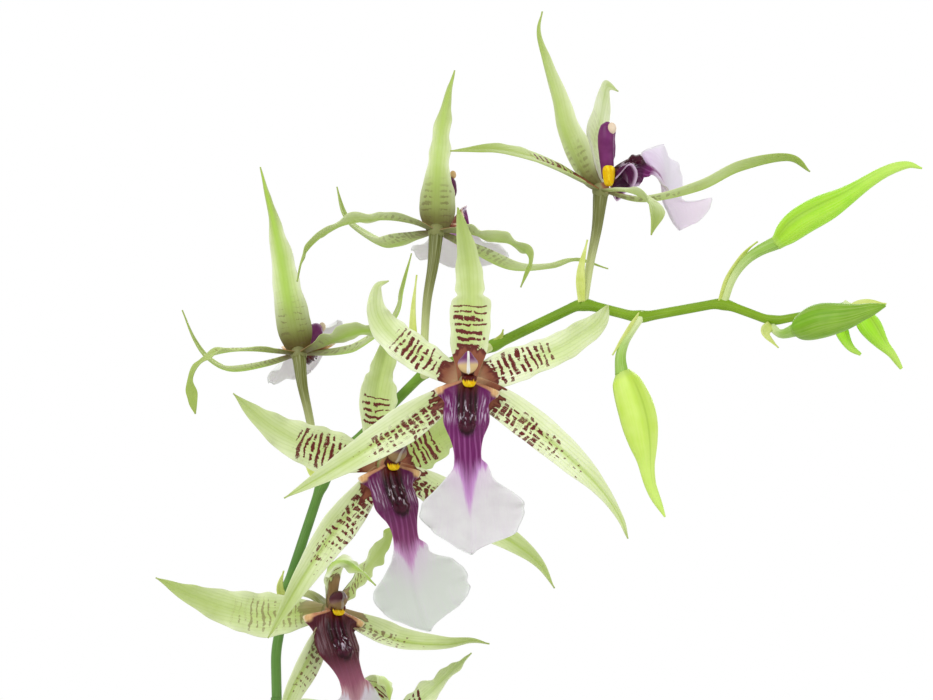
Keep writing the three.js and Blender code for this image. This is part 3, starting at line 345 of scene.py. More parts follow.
# Buds: the stalk, the line of the bud, how deep its green is and its radii along it
BUDS = {
    "bud_1": {
        "stalk": [
            [71, -28, 517.6], [72.6, -28.8, 522.2], [75.2, -29.8, 526], [78.4, -30.5, 528.5],
            [82, -31, 530.2],
        ],
        "line": [
            [82, -31, 530], [87, -32, 534.5], [96, -33, 539.5], [104.5, -34, 545], [110, -34, 547],
            [113.5, -34, 546.3],
        ],
        "deep": 0.55, "radii": [1.7, 2.9, 3.2, 3.0, 2.2, 1.6, 1.3, 1.0, 0.2],
    },
    "bud_2": {
        "stalk": [
            [52.7, -28.5, 514], [50.9, -30, 511.4], [49.2, -31.5, 508.6], [48.3, -32.5, 505.4],
            [48.5, -33, 502.5],
        ],
        "line": [
            [48.7, -33, 502.5], [51.5, -33, 494], [53.3, -33, 485.5], [54.7, -33, 477.7],
            [57.9, -33, 470.8],
        ],
        "deep": 0.1, "radii": [2.5, 3.5, 4.0, 3.9, 3.1, 1.9, 1.35, 1.0, 0.2],
    },
    "bud_3": {
        "stalk": [[81.5, -28, 512], [83, -34, 510.5], [85.5, -40, 511.3]],
        "line": [[85.5, -40, 511.3], [90.5, -45, 513], [96.5, -48, 514.2], [104, -50, 516.5]],
        "deep": 1.0, "radii": [1.8, 3.0, 3.6, 3.7, 3.3, 2.7, 1.9, 1.3, 0.3],
    },
    "bud_4": {
        "stalk": [[98, -29, 516.5], [100.5, -30, 515.2]],
        "line": [
            [100.5, -30, 515.2], [102.5, -31, 512], [105, -31, 508.5], [107.3, -31, 506],
            [109.4, -30, 503],
        ],
        "deep": 0.5, "radii": [1.4, 2.3, 2.5, 2.2, 1.7, 1.2, 0.9, 0.7, 0.4],
    },
    "bud_5": {
        "stalk": [[95, -28, 515.5], [95.8, -28, 513.5]],
        "line": [[95.8, -28, 513.5], [97, -28.5, 510], [98.5, -29, 507.5], [100.7, -29, 506]],
        "deep": 0.6, "radii": [0.9, 1.3, 1.5, 1.4, 1.2, 1.0, 0.8, 0.6, 0.35],
    },
}

# Bracts at the stem's nodes, each a line, a width and a facing where it isn't the usual one, and the
# sheaths lower down as [height of the foot, length]
BRACTS = [
    {"line": [[39.9, -28, 517.5], [39.7, -29, 524], [41.2, -29.5, 531]], "width": 2.2},
    {"line": [[4.8, -5, 502.5], [3, 2, 509], [2.8, 6, 516], [3.6, 9, 524]], "width": 2.2},
    {
        "line": [
            [70.2, -28.4, 517.6], [71.8, -29, 522.4], [74.3, -29.8, 526.8], [76.2, -30, 529],
            [78.2, -30.2, 530.6],
        ],
        "width": 2.2, "facing": [0.5, -0.9, -0.3],
    },
    {
        "line": [[52.6, -28.6, 514.6], [50.4, -30.8, 511.6], [48.3, -32.3, 508.7], [46.5, -33, 505.9]],
        "width": 2.2, "facing": [0.5, -0.9, -0.3],
    },
    {"line": [[81, -29, 512.5], [79.5, -34, 510.5], [82, -39, 507.5]], "width": 2.4},
    {"line": [[21, -13, 508], [22.5, -15.5, 510], [23, -17, 511.5]], "width": 1.8},
    {"line": [[-18, 10, 476], [-21, 14, 481], [-22.5, 14, 489]], "width": 2.4},
    {"line": [[-26.5, 12, 449], [-27.5, 9.5, 453], [-26.5, 7.5, 457]], "width": 2.2},
    {"line": [[-28.5, 13, 410], [-27, 18, 415], [-23, 19, 420]], "width": 2.6},
    {"line": [[98, -29, 516], [102, -31, 517.3], [106, -32, 517]], "width": 2.0},
]
BRACT_FACING = [0.3, -1, 0.4]
SHEATHS = [[132, 20], [196, 18], [264, 17], [334, 15]]

# Pseudobulbs: the middle of the foot, half sizes across it, height and lean. Leaves: line and width.
BULBS = [
    {"foot": [-1, 8], "half": [9.5, 16], "height": 70, "lean": [2, 1]},
    {"foot": [22, 3], "half": [9, 15], "height": 62, "lean": [4, -1]},
    {"foot": [44, -8], "half": [8.5, 13], "height": 54, "lean": [5, -2]},
    {"foot": [9, -29], "half": [13, 8], "height": 46, "lean": [-1, -4]},
]
SCALE_REACHES = [0.74, 0.58, 0.42]
LEAVES = [
    {
        "line": [[0, 2.5, 161], [-10, -12, 204], [-42, -44, 262], [-88, -74, 290], [-138, -100, 274]],
        "width": 30,
    },
    {"line": [[2, 14, 161], [10, 30, 204], [28, 64, 262], [48, 112, 292], [62, 164, 276]], "width": 29},
    {
        "line": [[26.5, -4, 152], [38, -14, 190], [72, -32, 238], [120, -48, 258], [170, -62, 234]],
        "width": 28,
    },
    {
        "line": [[26, 8, 152], [36, 24, 190], [72, 54, 234], [114, 88, 242], [154, 120, 218]],
        "width": 27,
    },
    {
        "line": [[48.5, -16, 141], [52, -34, 176], [58, -78, 214], [64, -126, 220], [68, -170, 192]],
        "width": 27,
    },
    {
        "line": [[-14, -12, 96], [-18, -26, 150], [-32, -68, 208], [-48, -116, 228], [-60, -158, 206]],
        "width": 26,
    },
    {
        "line": [[-12, 28, 96], [-24, 37, 150], [-62, 62, 210], [-110, 86, 232], [-152, 106, 212]],
        "width": 28,
    },
]

# Plain blades: share of the width at the foot, place of the widest, how late they narrow, how much
# they fold, there and more at the foot, how much they sway, half thickness, and rows and columns
BRACT_KIND = {
    "claw": 0.8, "peak": 0.3, "fall": 1.3, "fold": 0.3, "foot_fold": 0.0, "sway": 0.0, "depth": 0.2,
    "rows": 36, "columns": 13,
}
LEAF_KIND = {
    "claw": 0.34, "peak": 0.42, "fall": 2.0, "fold": 0.35, "foot_fold": 0.5, "sway": 1.1, "depth": 0.55,
    "rows": 120, "columns": 21,
}

# Pot and bark
POT_HEIGHT = 120.0
POT_TOP_RADIUS = 65.0
POT_BASE_RADIUS = 44.0
POT_WALL = 5.0
POT_RIM_HEIGHT = 22.0
POT_RIM_STEP = 4.0
DRAIN_RADIUS = 4.5
DRAIN_CIRCLE = 27.0
DRAIN_COUNT = 4
BARK_LEVEL = 103.0
BARK_RADIUS = POT_TOP_RADIUS - POT_RIM_STEP - POT_WALL
BARK_MOUND = 5.0
PLANT_DEPTH = 9.0
CHIP_COUNT = 430


def smooth(a, b, x):
    """3s² - 2s³, with s the share of the way from a to b, held between 0 and 1."""
    s = np.clip((x - a) / (b - a), 0, 1)
    return s * s * (3 - 2 * s)


def unit(a):
    """Each vector over its own length."""
    return a / np.maximum(np.linalg.norm(a, axis=-1, keepdims=True), 1e-9)


def circle(count):
    """That many angles, evenly round one turn."""
    return np.linspace(0, 2 * np.pi, count, endpoint=False)


def over(grid, *values):
    """The values side by side in a last axis, each spread over the grid's rows and columns."""
    return np.stack([np.broadcast_to(value, grid.shape[:2]) for value in values], -1).astype(float)


def ball(rows, around, pole):
    """Directions over a ball: (sin p · cos a, sin p · sin a, cos p), with p from pole to π - pole."""
    p = np.linspace(pole, np.pi - pole, rows)[:, None]
    a = circle(around)
    return over(p * a, np.sin(p) * np.cos(a), np.sin(p) * np.sin(a), np.cos(p))


def turned_about(axis, angle):
    """The matrix of a turn by an angle about axis 0, 1 or 2."""
    first, second = (axis + 1) % 3, (axis + 2) % 3
    turn = np.eye(3)
    turn[first, first] = turn[second, second] = math.cos(angle)
    turn[second, first] = math.sin(angle)
    turn[first, second] = -math.sin(angle)
    return turn


def profile(pairs, t):
    """A smooth line through (place, value) pairs: a cubic Hermite span between neighbours."""
    x, y = np.array(pairs, float).T
    slope = np.gradient(y, x)
    k = np.clip(np.searchsorted(x, t) - 1, 0, len(x) - 2)
    span = x[k + 1] - x[k]
    f = (t - x[k]) / span
    return (
        (2 * f**3 - 3 * f**2 + 1) * y[k]
        + (f**3 - 2 * f**2 + f) * span * slope[k]
        + (3 * f**2 - 2 * f**3) * y[k + 1]
        + (f**3 - f**2) * span * slope[k + 1]
    )


def evenly(values, t):
    """A smooth line through values that are evenly spaced from 0 to 1."""
    return profile(list(zip(np.linspace(0, 1, len(values)), values)), t)


def line_through(points, t):
    """Places and directions at shares t of a Catmull-Rom line's length.

    A span between b and c, with neighbours a and d, is half of
    2b + (c - a)f + (2a - 5b + 4c - d)f² + (3b - a - 3c + d)f³, and the ends run straight on.
    """
    p = np.array(points, float)
    p = np.vstack([2 * p[0] - p[1], p, 2 * p[-1] - p[-2]])
    spans = len(p) - 3
    s = np.linspace(0, spans, 60 * spans + 1)
    k = np.minimum(s.astype(int), spans - 1)
    f = (s - k)[:, None]
    a, b, c, d = p[k], p[k + 1], p[k + 2], p[k + 3]
    fine = 0.5 * (2 * b + (c - a) * f + (2 * a - 5 * b + 4 * c - d) * f**2 + (3 * b - a - 3 * c + d) * f**3)
    steps = np.linalg.norm(np.diff(fine, axis=0), axis=1)
    run = np.concatenate([[0], np.cumsum(steps)])
    ahead = unit(np.gradient(fine, run, axis=0))
    at = np.asarray(t) * run[-1]
    place = np.stack([np.interp(at, run, fine[:, i]) for i in range(3)], -1)
    direction = unit(np.stack([np.interp(at, run, ahead[:, i]) for i in range(3)], -1))
    return place, direction, run[-1]


def frame_on(points, t, facing):
    """Place, direction, side and normal at t: the normal is the facing less its part along the line,
    and the side is direction × normal. The line's length comes last."""
    place, direction, length = line_through(points, t)
    facing = np.broadcast_to(np.array(facing, float), place.shape)
    normal = unit(facing - (facing * direction).sum(-1, keepdims=True) * direction)
    return place, direction, np.cross(direction, normal), normal, length


def cornered(nodes, reach):
    """Places a mm apart along the straight stretches between the nodes, each the mean of the places
    within reach of it, which rounds the corners."""
    p = np.array(nodes, float)
    run = np.concatenate([[0], np.cumsum(np.linalg.norm(np.diff(p, axis=0), axis=1))])
    near = np.linspace(0, run[-1], int(run[-1]))[:, None] + np.linspace(-reach, reach, 9)
    return np.stack([np.interp(near, run, p[:, i]).mean(1) for i in range(3)], -1)


def laid(place, side, normal, across, lift):
    """Points [row, column]: across mm to the side of the row's place, and lift mm along its normal."""
    return place[:, None] + side[:, None] * across[..., None] + normal[:, None] * lift[..., None]


def lathed(outline, angle, wobble=1.0):
    """An outline of (radius, height) turned round the axis: (r · cos a · wobble, r · sin a · wobble, h)."""
    radius, height = outline[:, :1], outline[:, 1:]
    out = radius * wobble * np.ones_like(angle)
    return over(out, out * np.cos(angle), out * np.sin(angle), height)


def tube(loops, attributes):
    """A closed shell through loops of points [row, place]: quads join each loop to the next, and a fan
    to the middle of the first and last loop closes each end. Attributes are [row, place, 3]."""
    rows, around = loops.shape[:2]
    points = np.vstack([loops.reshape(-1, 3), loops[0].mean(0), loops[-1].mean(0)])
    a = np.arange(around)
    b = (a + 1) % around
    row = np.arange(rows - 1)[:, None] * around
    quads = np.stack([row + a, row + b, row + b + around, row + a + around], -1).reshape(-1, 4)
    start = np.stack([np.full(around, rows * around), b, a], -1)
    top = (rows - 1) * around
    end = np.stack([np.full(around, rows * around + 1), top + a, top + b], -1)
    triangles = np.vstack([start, end])
    whole = {
        name: np.vstack([value.reshape(-1, 3), value[0].mean(0), value[-1].mean(0)])
        for name, value in attributes.items()
    }
    corners = points[np.vstack([triangles, quads[:, :3], quads[:, [0, 2, 3]]])]
    if (corners[:, 0] * np.cross(corners[:, 1], corners[:, 2])).sum() < 0:
        quads, triangles = quads[:, ::-1], triangles[:, ::-1]
    return points, quads, triangles, whole


def wrapped(middle, front, back, t, v, lay):
    """A closed shell round a grid of middle points [row, column]: the front face stands off it along
    unit(across × along) by front, the back face the other way by back, and they meet at the edges.
    Its share is (t, v, 1 on the front and 0 behind)."""
    along = np.gradient(middle, axis=0)
    across = np.gradient(middle, axis=1)
    out = unit(np.cross(across, along))
    loops = [middle + out * front[..., None], (middle - out * back[..., None])[:, -2:0:-1]]
    ahead = np.ones(middle.shape[:2])
    ahead[:, [0, -1]] = 0.5
    shares = [over(middle, t, v, ahead), over(middle, t, v, 0.0)[:, -2:0:-1]]
    lays = [lay, lay[:, -2:0:-1]]
    return tube(np.hstack(loops), {"share": np.hstack(shares), "lay": np.hstack(lays)})


def sweep(points, t, radius, facing=(0, 1, 0), around=24, ridges=0, depth=0.0, tone=0.0):
    """A round shell along a line: radius(t) · (1 + depth · cos(ridges · angle)) out from it.
    Its share is (along, cos angle, sin angle), and its lay is (tone, mm along, mm round)."""
    place, _, side, normal, length = frame_on(points, t, facing)
    angle = circle(around)
    c, s = np.cos(angle), np.sin(angle)
    t, radius = t[:, None], radius[:, None]
    out = radius * (1 + np.reshape(depth, (-1, 1)) * np.cos(ridges * angle))
    marks = {"share": over(out, t, c, s), "lay": over(out, tone, t * length, radius * s)}
    return tube(laid(place, side, normal, out * c, out * s), marks)


def make_piece(name, shells, material, nodes):
    """One object from closed shells, its points and corners set as whole arrays."""
    starts = np.cumsum([0] + [len(shell[0]) for shell in shells])
    points = np.vstack([shell[0] for shell in shells]) * MM
    quads = np.vstack([shell[1] + start for shell, start in zip(shells, starts)])
    triangles = np.vstack([shell[2] + start for shell, start in zip(shells, starts)])
    mesh = bpy.data.meshes.new(name)
    mesh.vertices.add(len(points))
    mesh.vertices.foreach_set("co", points.ravel())
    corners = np.concatenate([quads.ravel(), triangles.ravel()])
    mesh.loops.add(len(corners))
    mesh.loops.foreach_set("vertex_index", corners.astype(np.int32))
    sizes = np.concatenate([np.full(len(quads), 4), np.full(len(triangles), 3)])
    mesh.polygons.add(len(sizes))
    mesh.polygons.foreach_set("loop_start", np.concatenate([[0], np.cumsum(sizes)[:-1]]).astype(np.int32))
    mesh.update(calc_edges=True)
    mesh.polygons.foreach_set("use_smooth", np.ones(len(sizes), bool))
    for key in shells[0][3]:
        values = np.vstack([shell[3][key] for shell in shells])
        mesh.attributes.new(key, "FLOAT_VECTOR", "POINT").data.foreach_set("vector", values.ravel())
    mesh.materials.append(material)
    piece = bpy.data.objects.new(name, mesh)
    bpy.context.scene.collection.objects.link(piece)
    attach(piece, "root")
    if nodes:
        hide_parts(*nodes)
    return piece


def colour(text):
    """A web colour as linear red, green, blue and alpha."""
    value = np.array([int(text[i : i + 2], 16) for i in (0, 2, 4)]) / 255
    linear = np.where(value <= 0.04045, value / 12.92, ((value + 0.055) / 1.055) ** 2.4)
    return (*linear.tolist(), 1.0)


class Shade:
    """A shader tree being built. Most methods add nodes and give back the socket that they end in."""

    def __init__(self, tree):
        self.tree = tree

    def node(self, kind, inputs=None, **settings):
        made = self.tree.nodes.new(kind)
        for key, value in settings.items():
            setattr(made, key, value)
        for key, value in (inputs or {}).items():
            if isinstance(value, bpy.types.NodeSocket):
                self.tree.links.new(value, made.inputs[key])
            else:
                made.inputs[key].default_value = value
        return made

    def math(self, operation, *values):
        return self.node("ShaderNodeMath", dict(enumerate(values)), operation=operation).outputs[0]

    def add(self, first, *rest):
        for value in rest:
            first = self.math("ADD", first, value)
        return first

    def times(self, first, *rest):
        for value in rest:
            first = self.math("MULTIPLY", first, value)
        return first

    def less(self, value, taken):
        return self.math("SUBTRACT", value, taken)

    def ease(self, value, low, high):
        inputs = {"Value": value, "From Min": low, "From Max": high}
        made = self.node("ShaderNodeMapRange", inputs, interpolation_type="SMOOTHSTEP")
        return made.outputs["Result"]

    def mix(self, amount, a, b, blend="MIX"):
        made = self.node("ShaderNodeMix", {0: amount, 6: a, 7: b}, data_type="RGBA", blend_type=blend)
        return made.outputs[2]

    def noise(self, vector, scale, detail=2.0, distortion=0.0):
        inputs = {"Vector": vector, "Scale": scale, "Detail": detail, "Distortion": distortion}
        return self.node("ShaderNodeTexNoise", inputs).outputs["Fac"]

    def dice(self, vector):
        made = self.node("ShaderNodeTexWhiteNoise", {"Vector": vector}, noise_dimensions="3D")
        return self.split(made.outputs["Color"])

    def attribute(self, name):
        return self.node("ShaderNodeAttribute", attribute_name=name).outputs["Vector"]

    def split(self, vector):
        return list(self.node("ShaderNodeSeparateXYZ", {0: vector}).outputs)

    def vector(self, x, y, z):
        return self.node("ShaderNodeCombineXYZ", {0: x, 1: y, 2: z}).outputs[0]

    def object_place(self):
        return self.node("ShaderNodeTexCoord").outputs["Object"]

    def group(self, tree, inputs):
        return self.node("ShaderNodeGroup", inputs, node_tree=tree).outputs

    def bump(self, height, distance, strength=1.0):
        inputs = {"Height": height, "Distance": distance, "Strength": strength}
        return self.node("ShaderNodeBump", inputs).outputs["Normal"]

    def tools(self):
        return self.add, self.times, self.less, self.ease, self.mix, self.noise


def new_group(name, inputs, outputs):
    """An empty shader node group, the sockets its nodes take from and those they are to feed."""
    tree = bpy.data.node_groups.new(name, "ShaderNodeTree")
    for key, kind in inputs.items():
        tree.interface.new_socket(key, in_out="INPUT", socket_type=kind)
    for key, kind in outputs.items():
        tree.interface.new_socket(key, in_out="OUTPUT", socket_type=kind)
    given = tree.nodes.new("NodeGroupInput").outputs
    taken = tree.nodes.new("NodeGroupOutput").inputs
    return tree, given, taken


def mottle_group():
    """Cloudy change of tone: two sizes of noise on the object's own place, stretched by Stretch."""
    inputs = {"Size": "NodeSocketFloat", "Stretch": "NodeSocketVector"}
    tree, given, taken = new_group("mottle", inputs, {"Mask": "NodeSocketFloat"})
    shade = Shade(tree)
    place = shade.object_place()
    shaped = shade.node("ShaderNodeVectorMath", {0: place, 1: given["Stretch"]}, operation="MULTIPLY")
    scale = shade.math("DIVIDE", 1.0, given["Size"])
    broad = shade.noise(shaped.outputs[0], scale, 3.0)
    fine = shade.noise(shaped.outputs[0], shade.times(scale, 4.3), 2.0)
    both = shade.add(shade.times(broad, 0.7), shade.times(fine, 0.3))
    tree.links.new(shade.ease(both, 0.32, 0.68), taken["Mask"])
    return tree


def vein_group():
    """Lengthwise veins: a wave across the blade, every Spacing mm, bent a little by noise along it."""
    inputs = {"Across": "NodeSocketFloat", "Along": "NodeSocketFloat", "Spacing": "NodeSocketFloat"}
    tree, given, taken = new_group("lengthwise veins", inputs, {"Mask": "NodeSocketFloat"})
    shade = Shade(tree)
    slow = shade.vector(given["Across"], shade.times(given["Along"], 0.12), 0.0)
    moved = shade.add(given["Across"], shade.times(shade.noise(slow, 0.6), 1.2))
    turns = shade.math("DIVIDE", shade.times(moved, 2 * math.pi), given["Spacing"])
    tree.links.new(shade.ease(shade.math("COSINE", turns), 0.1, 1.0), taken["Mask"])
    return tree


MOTTLE = mottle_group()
VEINS = vein_group()


def new_material(name):
    """An empty material with one Principled shader, and the tree to build on."""
    material = bpy.data.materials.new(name)
    material.use_nodes = True
    material.node_tree.nodes.clear()
    shade = Shade(material.node_tree)
    shader = shade.node("ShaderNodeBsdfPrincipled")
    output = shade.node("ShaderNodeOutputMaterial")
    material.node_tree.links.new(shader.outputs[0], output.inputs["Surface"])
    return material, shade, shader


def finish_material(shade, shader, links, values):
    """Joins sockets to the shader's inputs and sets the constant ones on the shader itself."""
    for key, socket in links.items():
        shade.tree.links.new(socket, shader.inputs[key])
    for key, value in values.items():
        shader.inputs[key].default_value = value


def tepal_material():
    """Pale yellow-green blades with a greener midrib and pale margins. How pale a blade is comes from light,
    which is partly the tepal's own tone and partly painted light and shade. Past the brown patch at the root
    lie maroon bars: whole steps of length over spacing, each with its own thickness and its own reach to
    either side. A bar is where the least of four distances in mm is above 0, with rounded corners: to its
    long edges, to its ends, to the cuts through it and to the end of all bars. A strong rib thins the
    bars, and light below 0 is painted shade that turns the ground olive."""
    material, shade, shader = new_material("tepal")
    add, times, less, ease, mix, noise = shade.tools()
    along, across, front = shade.split(shade.attribute("share"))
    width, length, seed = shade.split(shade.attribute("lay"))
    patch_end, bar_end, lower = shade.split(shade.attribute("style"))
    rib, faint, light = shade.split(shade.attribute("extra"))
    spotted = shade.math("ABSOLUTE", lower)
    rim = shade.math("ABSOLUTE", across)
    back = less(1.0, front)
    drawn = shade.vector(width, length, times(seed, 7.3))
    # Ground
    tint = shade.group(MOTTLE, {"Size": 0.012, "Stretch": (1, 1, 1)})["Mask"]
    veins = shade.group(VEINS, {"Across": width, "Along": length, "Spacing": 0.75})["Mask"]
    # Light is partly the tepal's own tone and partly painted light and shade; it pales or darkens the ground
    deep = mix(light, colour("c6d68a"), colour("deecb0"))
    bright = mix(light, colour("d9e7a8"), colour("f0f8d4"))
    ground = mix(tint, deep, bright)
    ground = mix(times(veins, 0.24), ground, colour("b9cd76"))
    middle = ease(rim, less(0.55, times(spotted, 0.2)), 0.0)
    greener = add(0.3, times(spotted, less(times(ease(along, 0.15, 0.5), 0.5), 0.15)))
    ground = mix(times(middle, greener), ground, colour("b2cc52"))
    ground = mix(times(ease(rim, 0.55, 1.0), add(0.5, times(back, rib, 0.4))), ground, colour("ecf3d6"))
    # Painted shade: light below 0 turns the ground olive
    ground = mix(times(light, -1.0), ground, colour("a9bc5e"))
    ground = mix(times(ease(along, 0.45, 0.95), less(0.85, times(light, 0.5))), ground, colour("a2b65c"))
    ground = mix(times(ease(rim, 0.7, 0.0), back, rib, ease(along, 0.1, 0.3), 0.7), ground, colour("a9d336"))
    ground = mix(times(ease(along, 0.93, 1.0), 0.6), ground, colour("9fae5a"))
    aged = times(back, add(0.55, times(rib, 0.35)))
    ground = mix(times(aged, ease(length, 16.0, 3.0)), ground, colour("7c8238"))
    ground = mix(times(aged, ease(length, 7.0, 2.0)), ground, colour("5a4a1c"))
    # Bars
    bend = less(noise(drawn, 0.3, 2.0), 0.5)
    jitter = less(noise(drawn, 1.5, 2.0), 0.5)
    grain = times(less(noise(drawn, 3.4, 1.0), 0.5), less(0.35, times(spotted, 0.2)))
    step = times(ease(width, -0.3, 0.3), less(noise(shade.vector(0.0, length, seed), 0.6, 1.0), 0.5), 0.8)
    wander = add(times(bend, add(1.25, times(spotted, 0.75))), times(jitter, add(0.35, times(spotted, 0.3))))
    spacing = add(BAR_SPACING, times(spotted, 0.1))
    phase = add(shade.math("DIVIDE", length, spacing), step, wander)
    index = shade.math("FLOOR", phase)
    off = shade.math("ABSOLUTE", less(less(phase, index), 0.5))
    right = shade.math("GREATER_THAN", width, 0.0)
    first, own, _ = shade.dice(shade.vector(index, right, seed))
    second, third, _ = shade.dice(shade.vector(index, 0.5, seed))
    gone = shade.math("DIVIDE", along, bar_end)
    thick = add(0.24, times(second, 0.14), times(spotted, less(1.0, gone), 0.17), times(back, -0.08))
    thick = add(thick, times(own, 0.04), times(rib, -0.12))
    to_edge = times(less(thick, off), spacing)
    low_side = times(less(times(right, 2.0), 1.0), lower)
    reach = add(0.56, times(first, 0.36), times(low_side, 0.3), times(spotted, -0.08))
    to_end = times(less(reach, rim), 3.6)
    cut_place = add(times(width, add(1.0, times(spotted, gone, 0.8))), times(second, spotted, 9.0))
    cuts = noise(shade.vector(cut_place, times(index, 3.7), seed), 1.0, 1.0)
    cut_at = add(0.33, times(spotted, add(-0.06, times(gone, 0.28))))
    to_cut = times(less(cuts, cut_at), add(2.6, times(spotted, -0.6)))
    to_last = times(less(1.06, add(gone, times(third, 0.22))), 12.0)
    least = shade.math("SMOOTH_MIN", to_edge, to_end, 0.35)
    least = shade.math("SMOOTH_MIN", least, to_cut, 0.35)
    least = shade.math("SMOOTH_MIN", least, to_last, 0.3)
    bars = ease(add(least, times(jitter, 0.3), grain), 0.03, 0.13)
    # Patch at the root
    lobes = less(noise(shade.vector(times(width, 0.7), times(length, 0.25), seed), 1.0, 2.0), 0.5)
    inside = less(add(patch_end, times(lobes, add(5.0, times(spotted, 5.0))), times(rim, rim, -1.4)), length)
    patch = ease(inside, -0.15, 0.15)
    # The patch's tan darkens where light is low, partly painted shade
    tan = mix(light, colour("9a5a42"), colour("dcb68c"))
    brown = mix(ease(length, 1.8, 5.4), tan, colour("8e4f3a"))
    brown = mix(times(noise(drawn, 1.1, 2.0), 0.5), brown, colour("a8704f"))
    brown = mix(times(ease(inside, 1.6, 0.2), 0.9), brown, colour("62211f"))
    marks = mix(patch, mix(noise(drawn, 2.4, 2.0), colour("561818"), colour("7a2c28")), brown)
    marks = mix(back, marks, colour("6f6040"))
    through = times(back, ease(rim, 0.1, 0.35), ease(gone, 0.8, 0.4), 0.55)
    marked = times(bars, add(front, through))
    marked = times(shade.math("MAXIMUM", marked, times(patch, front)), less(1.0, faint))
    face = mix(marked, ground, marks)
    relief = add(times(veins, 0.6), times(marked, -0.25), times(noise(drawn, 0.9, 2.0), 0.5))
    rough = add(0.46, times(noise(drawn, 0.9, 2.0), 0.18))
    links = {"Base Color": face, "Roughness": rough, "Normal": shade.bump(relief, 0.00008, 0.5)}
    thin = {"Specular IOR Level": 0.25, "Subsurface Weight": 0.2, "Subsurface Scale": 0.0008}
    thin["Subsurface Radius"] = (1.0, 1.0, 0.6)
    finish_material(shade, shader, links, thin)
    return material


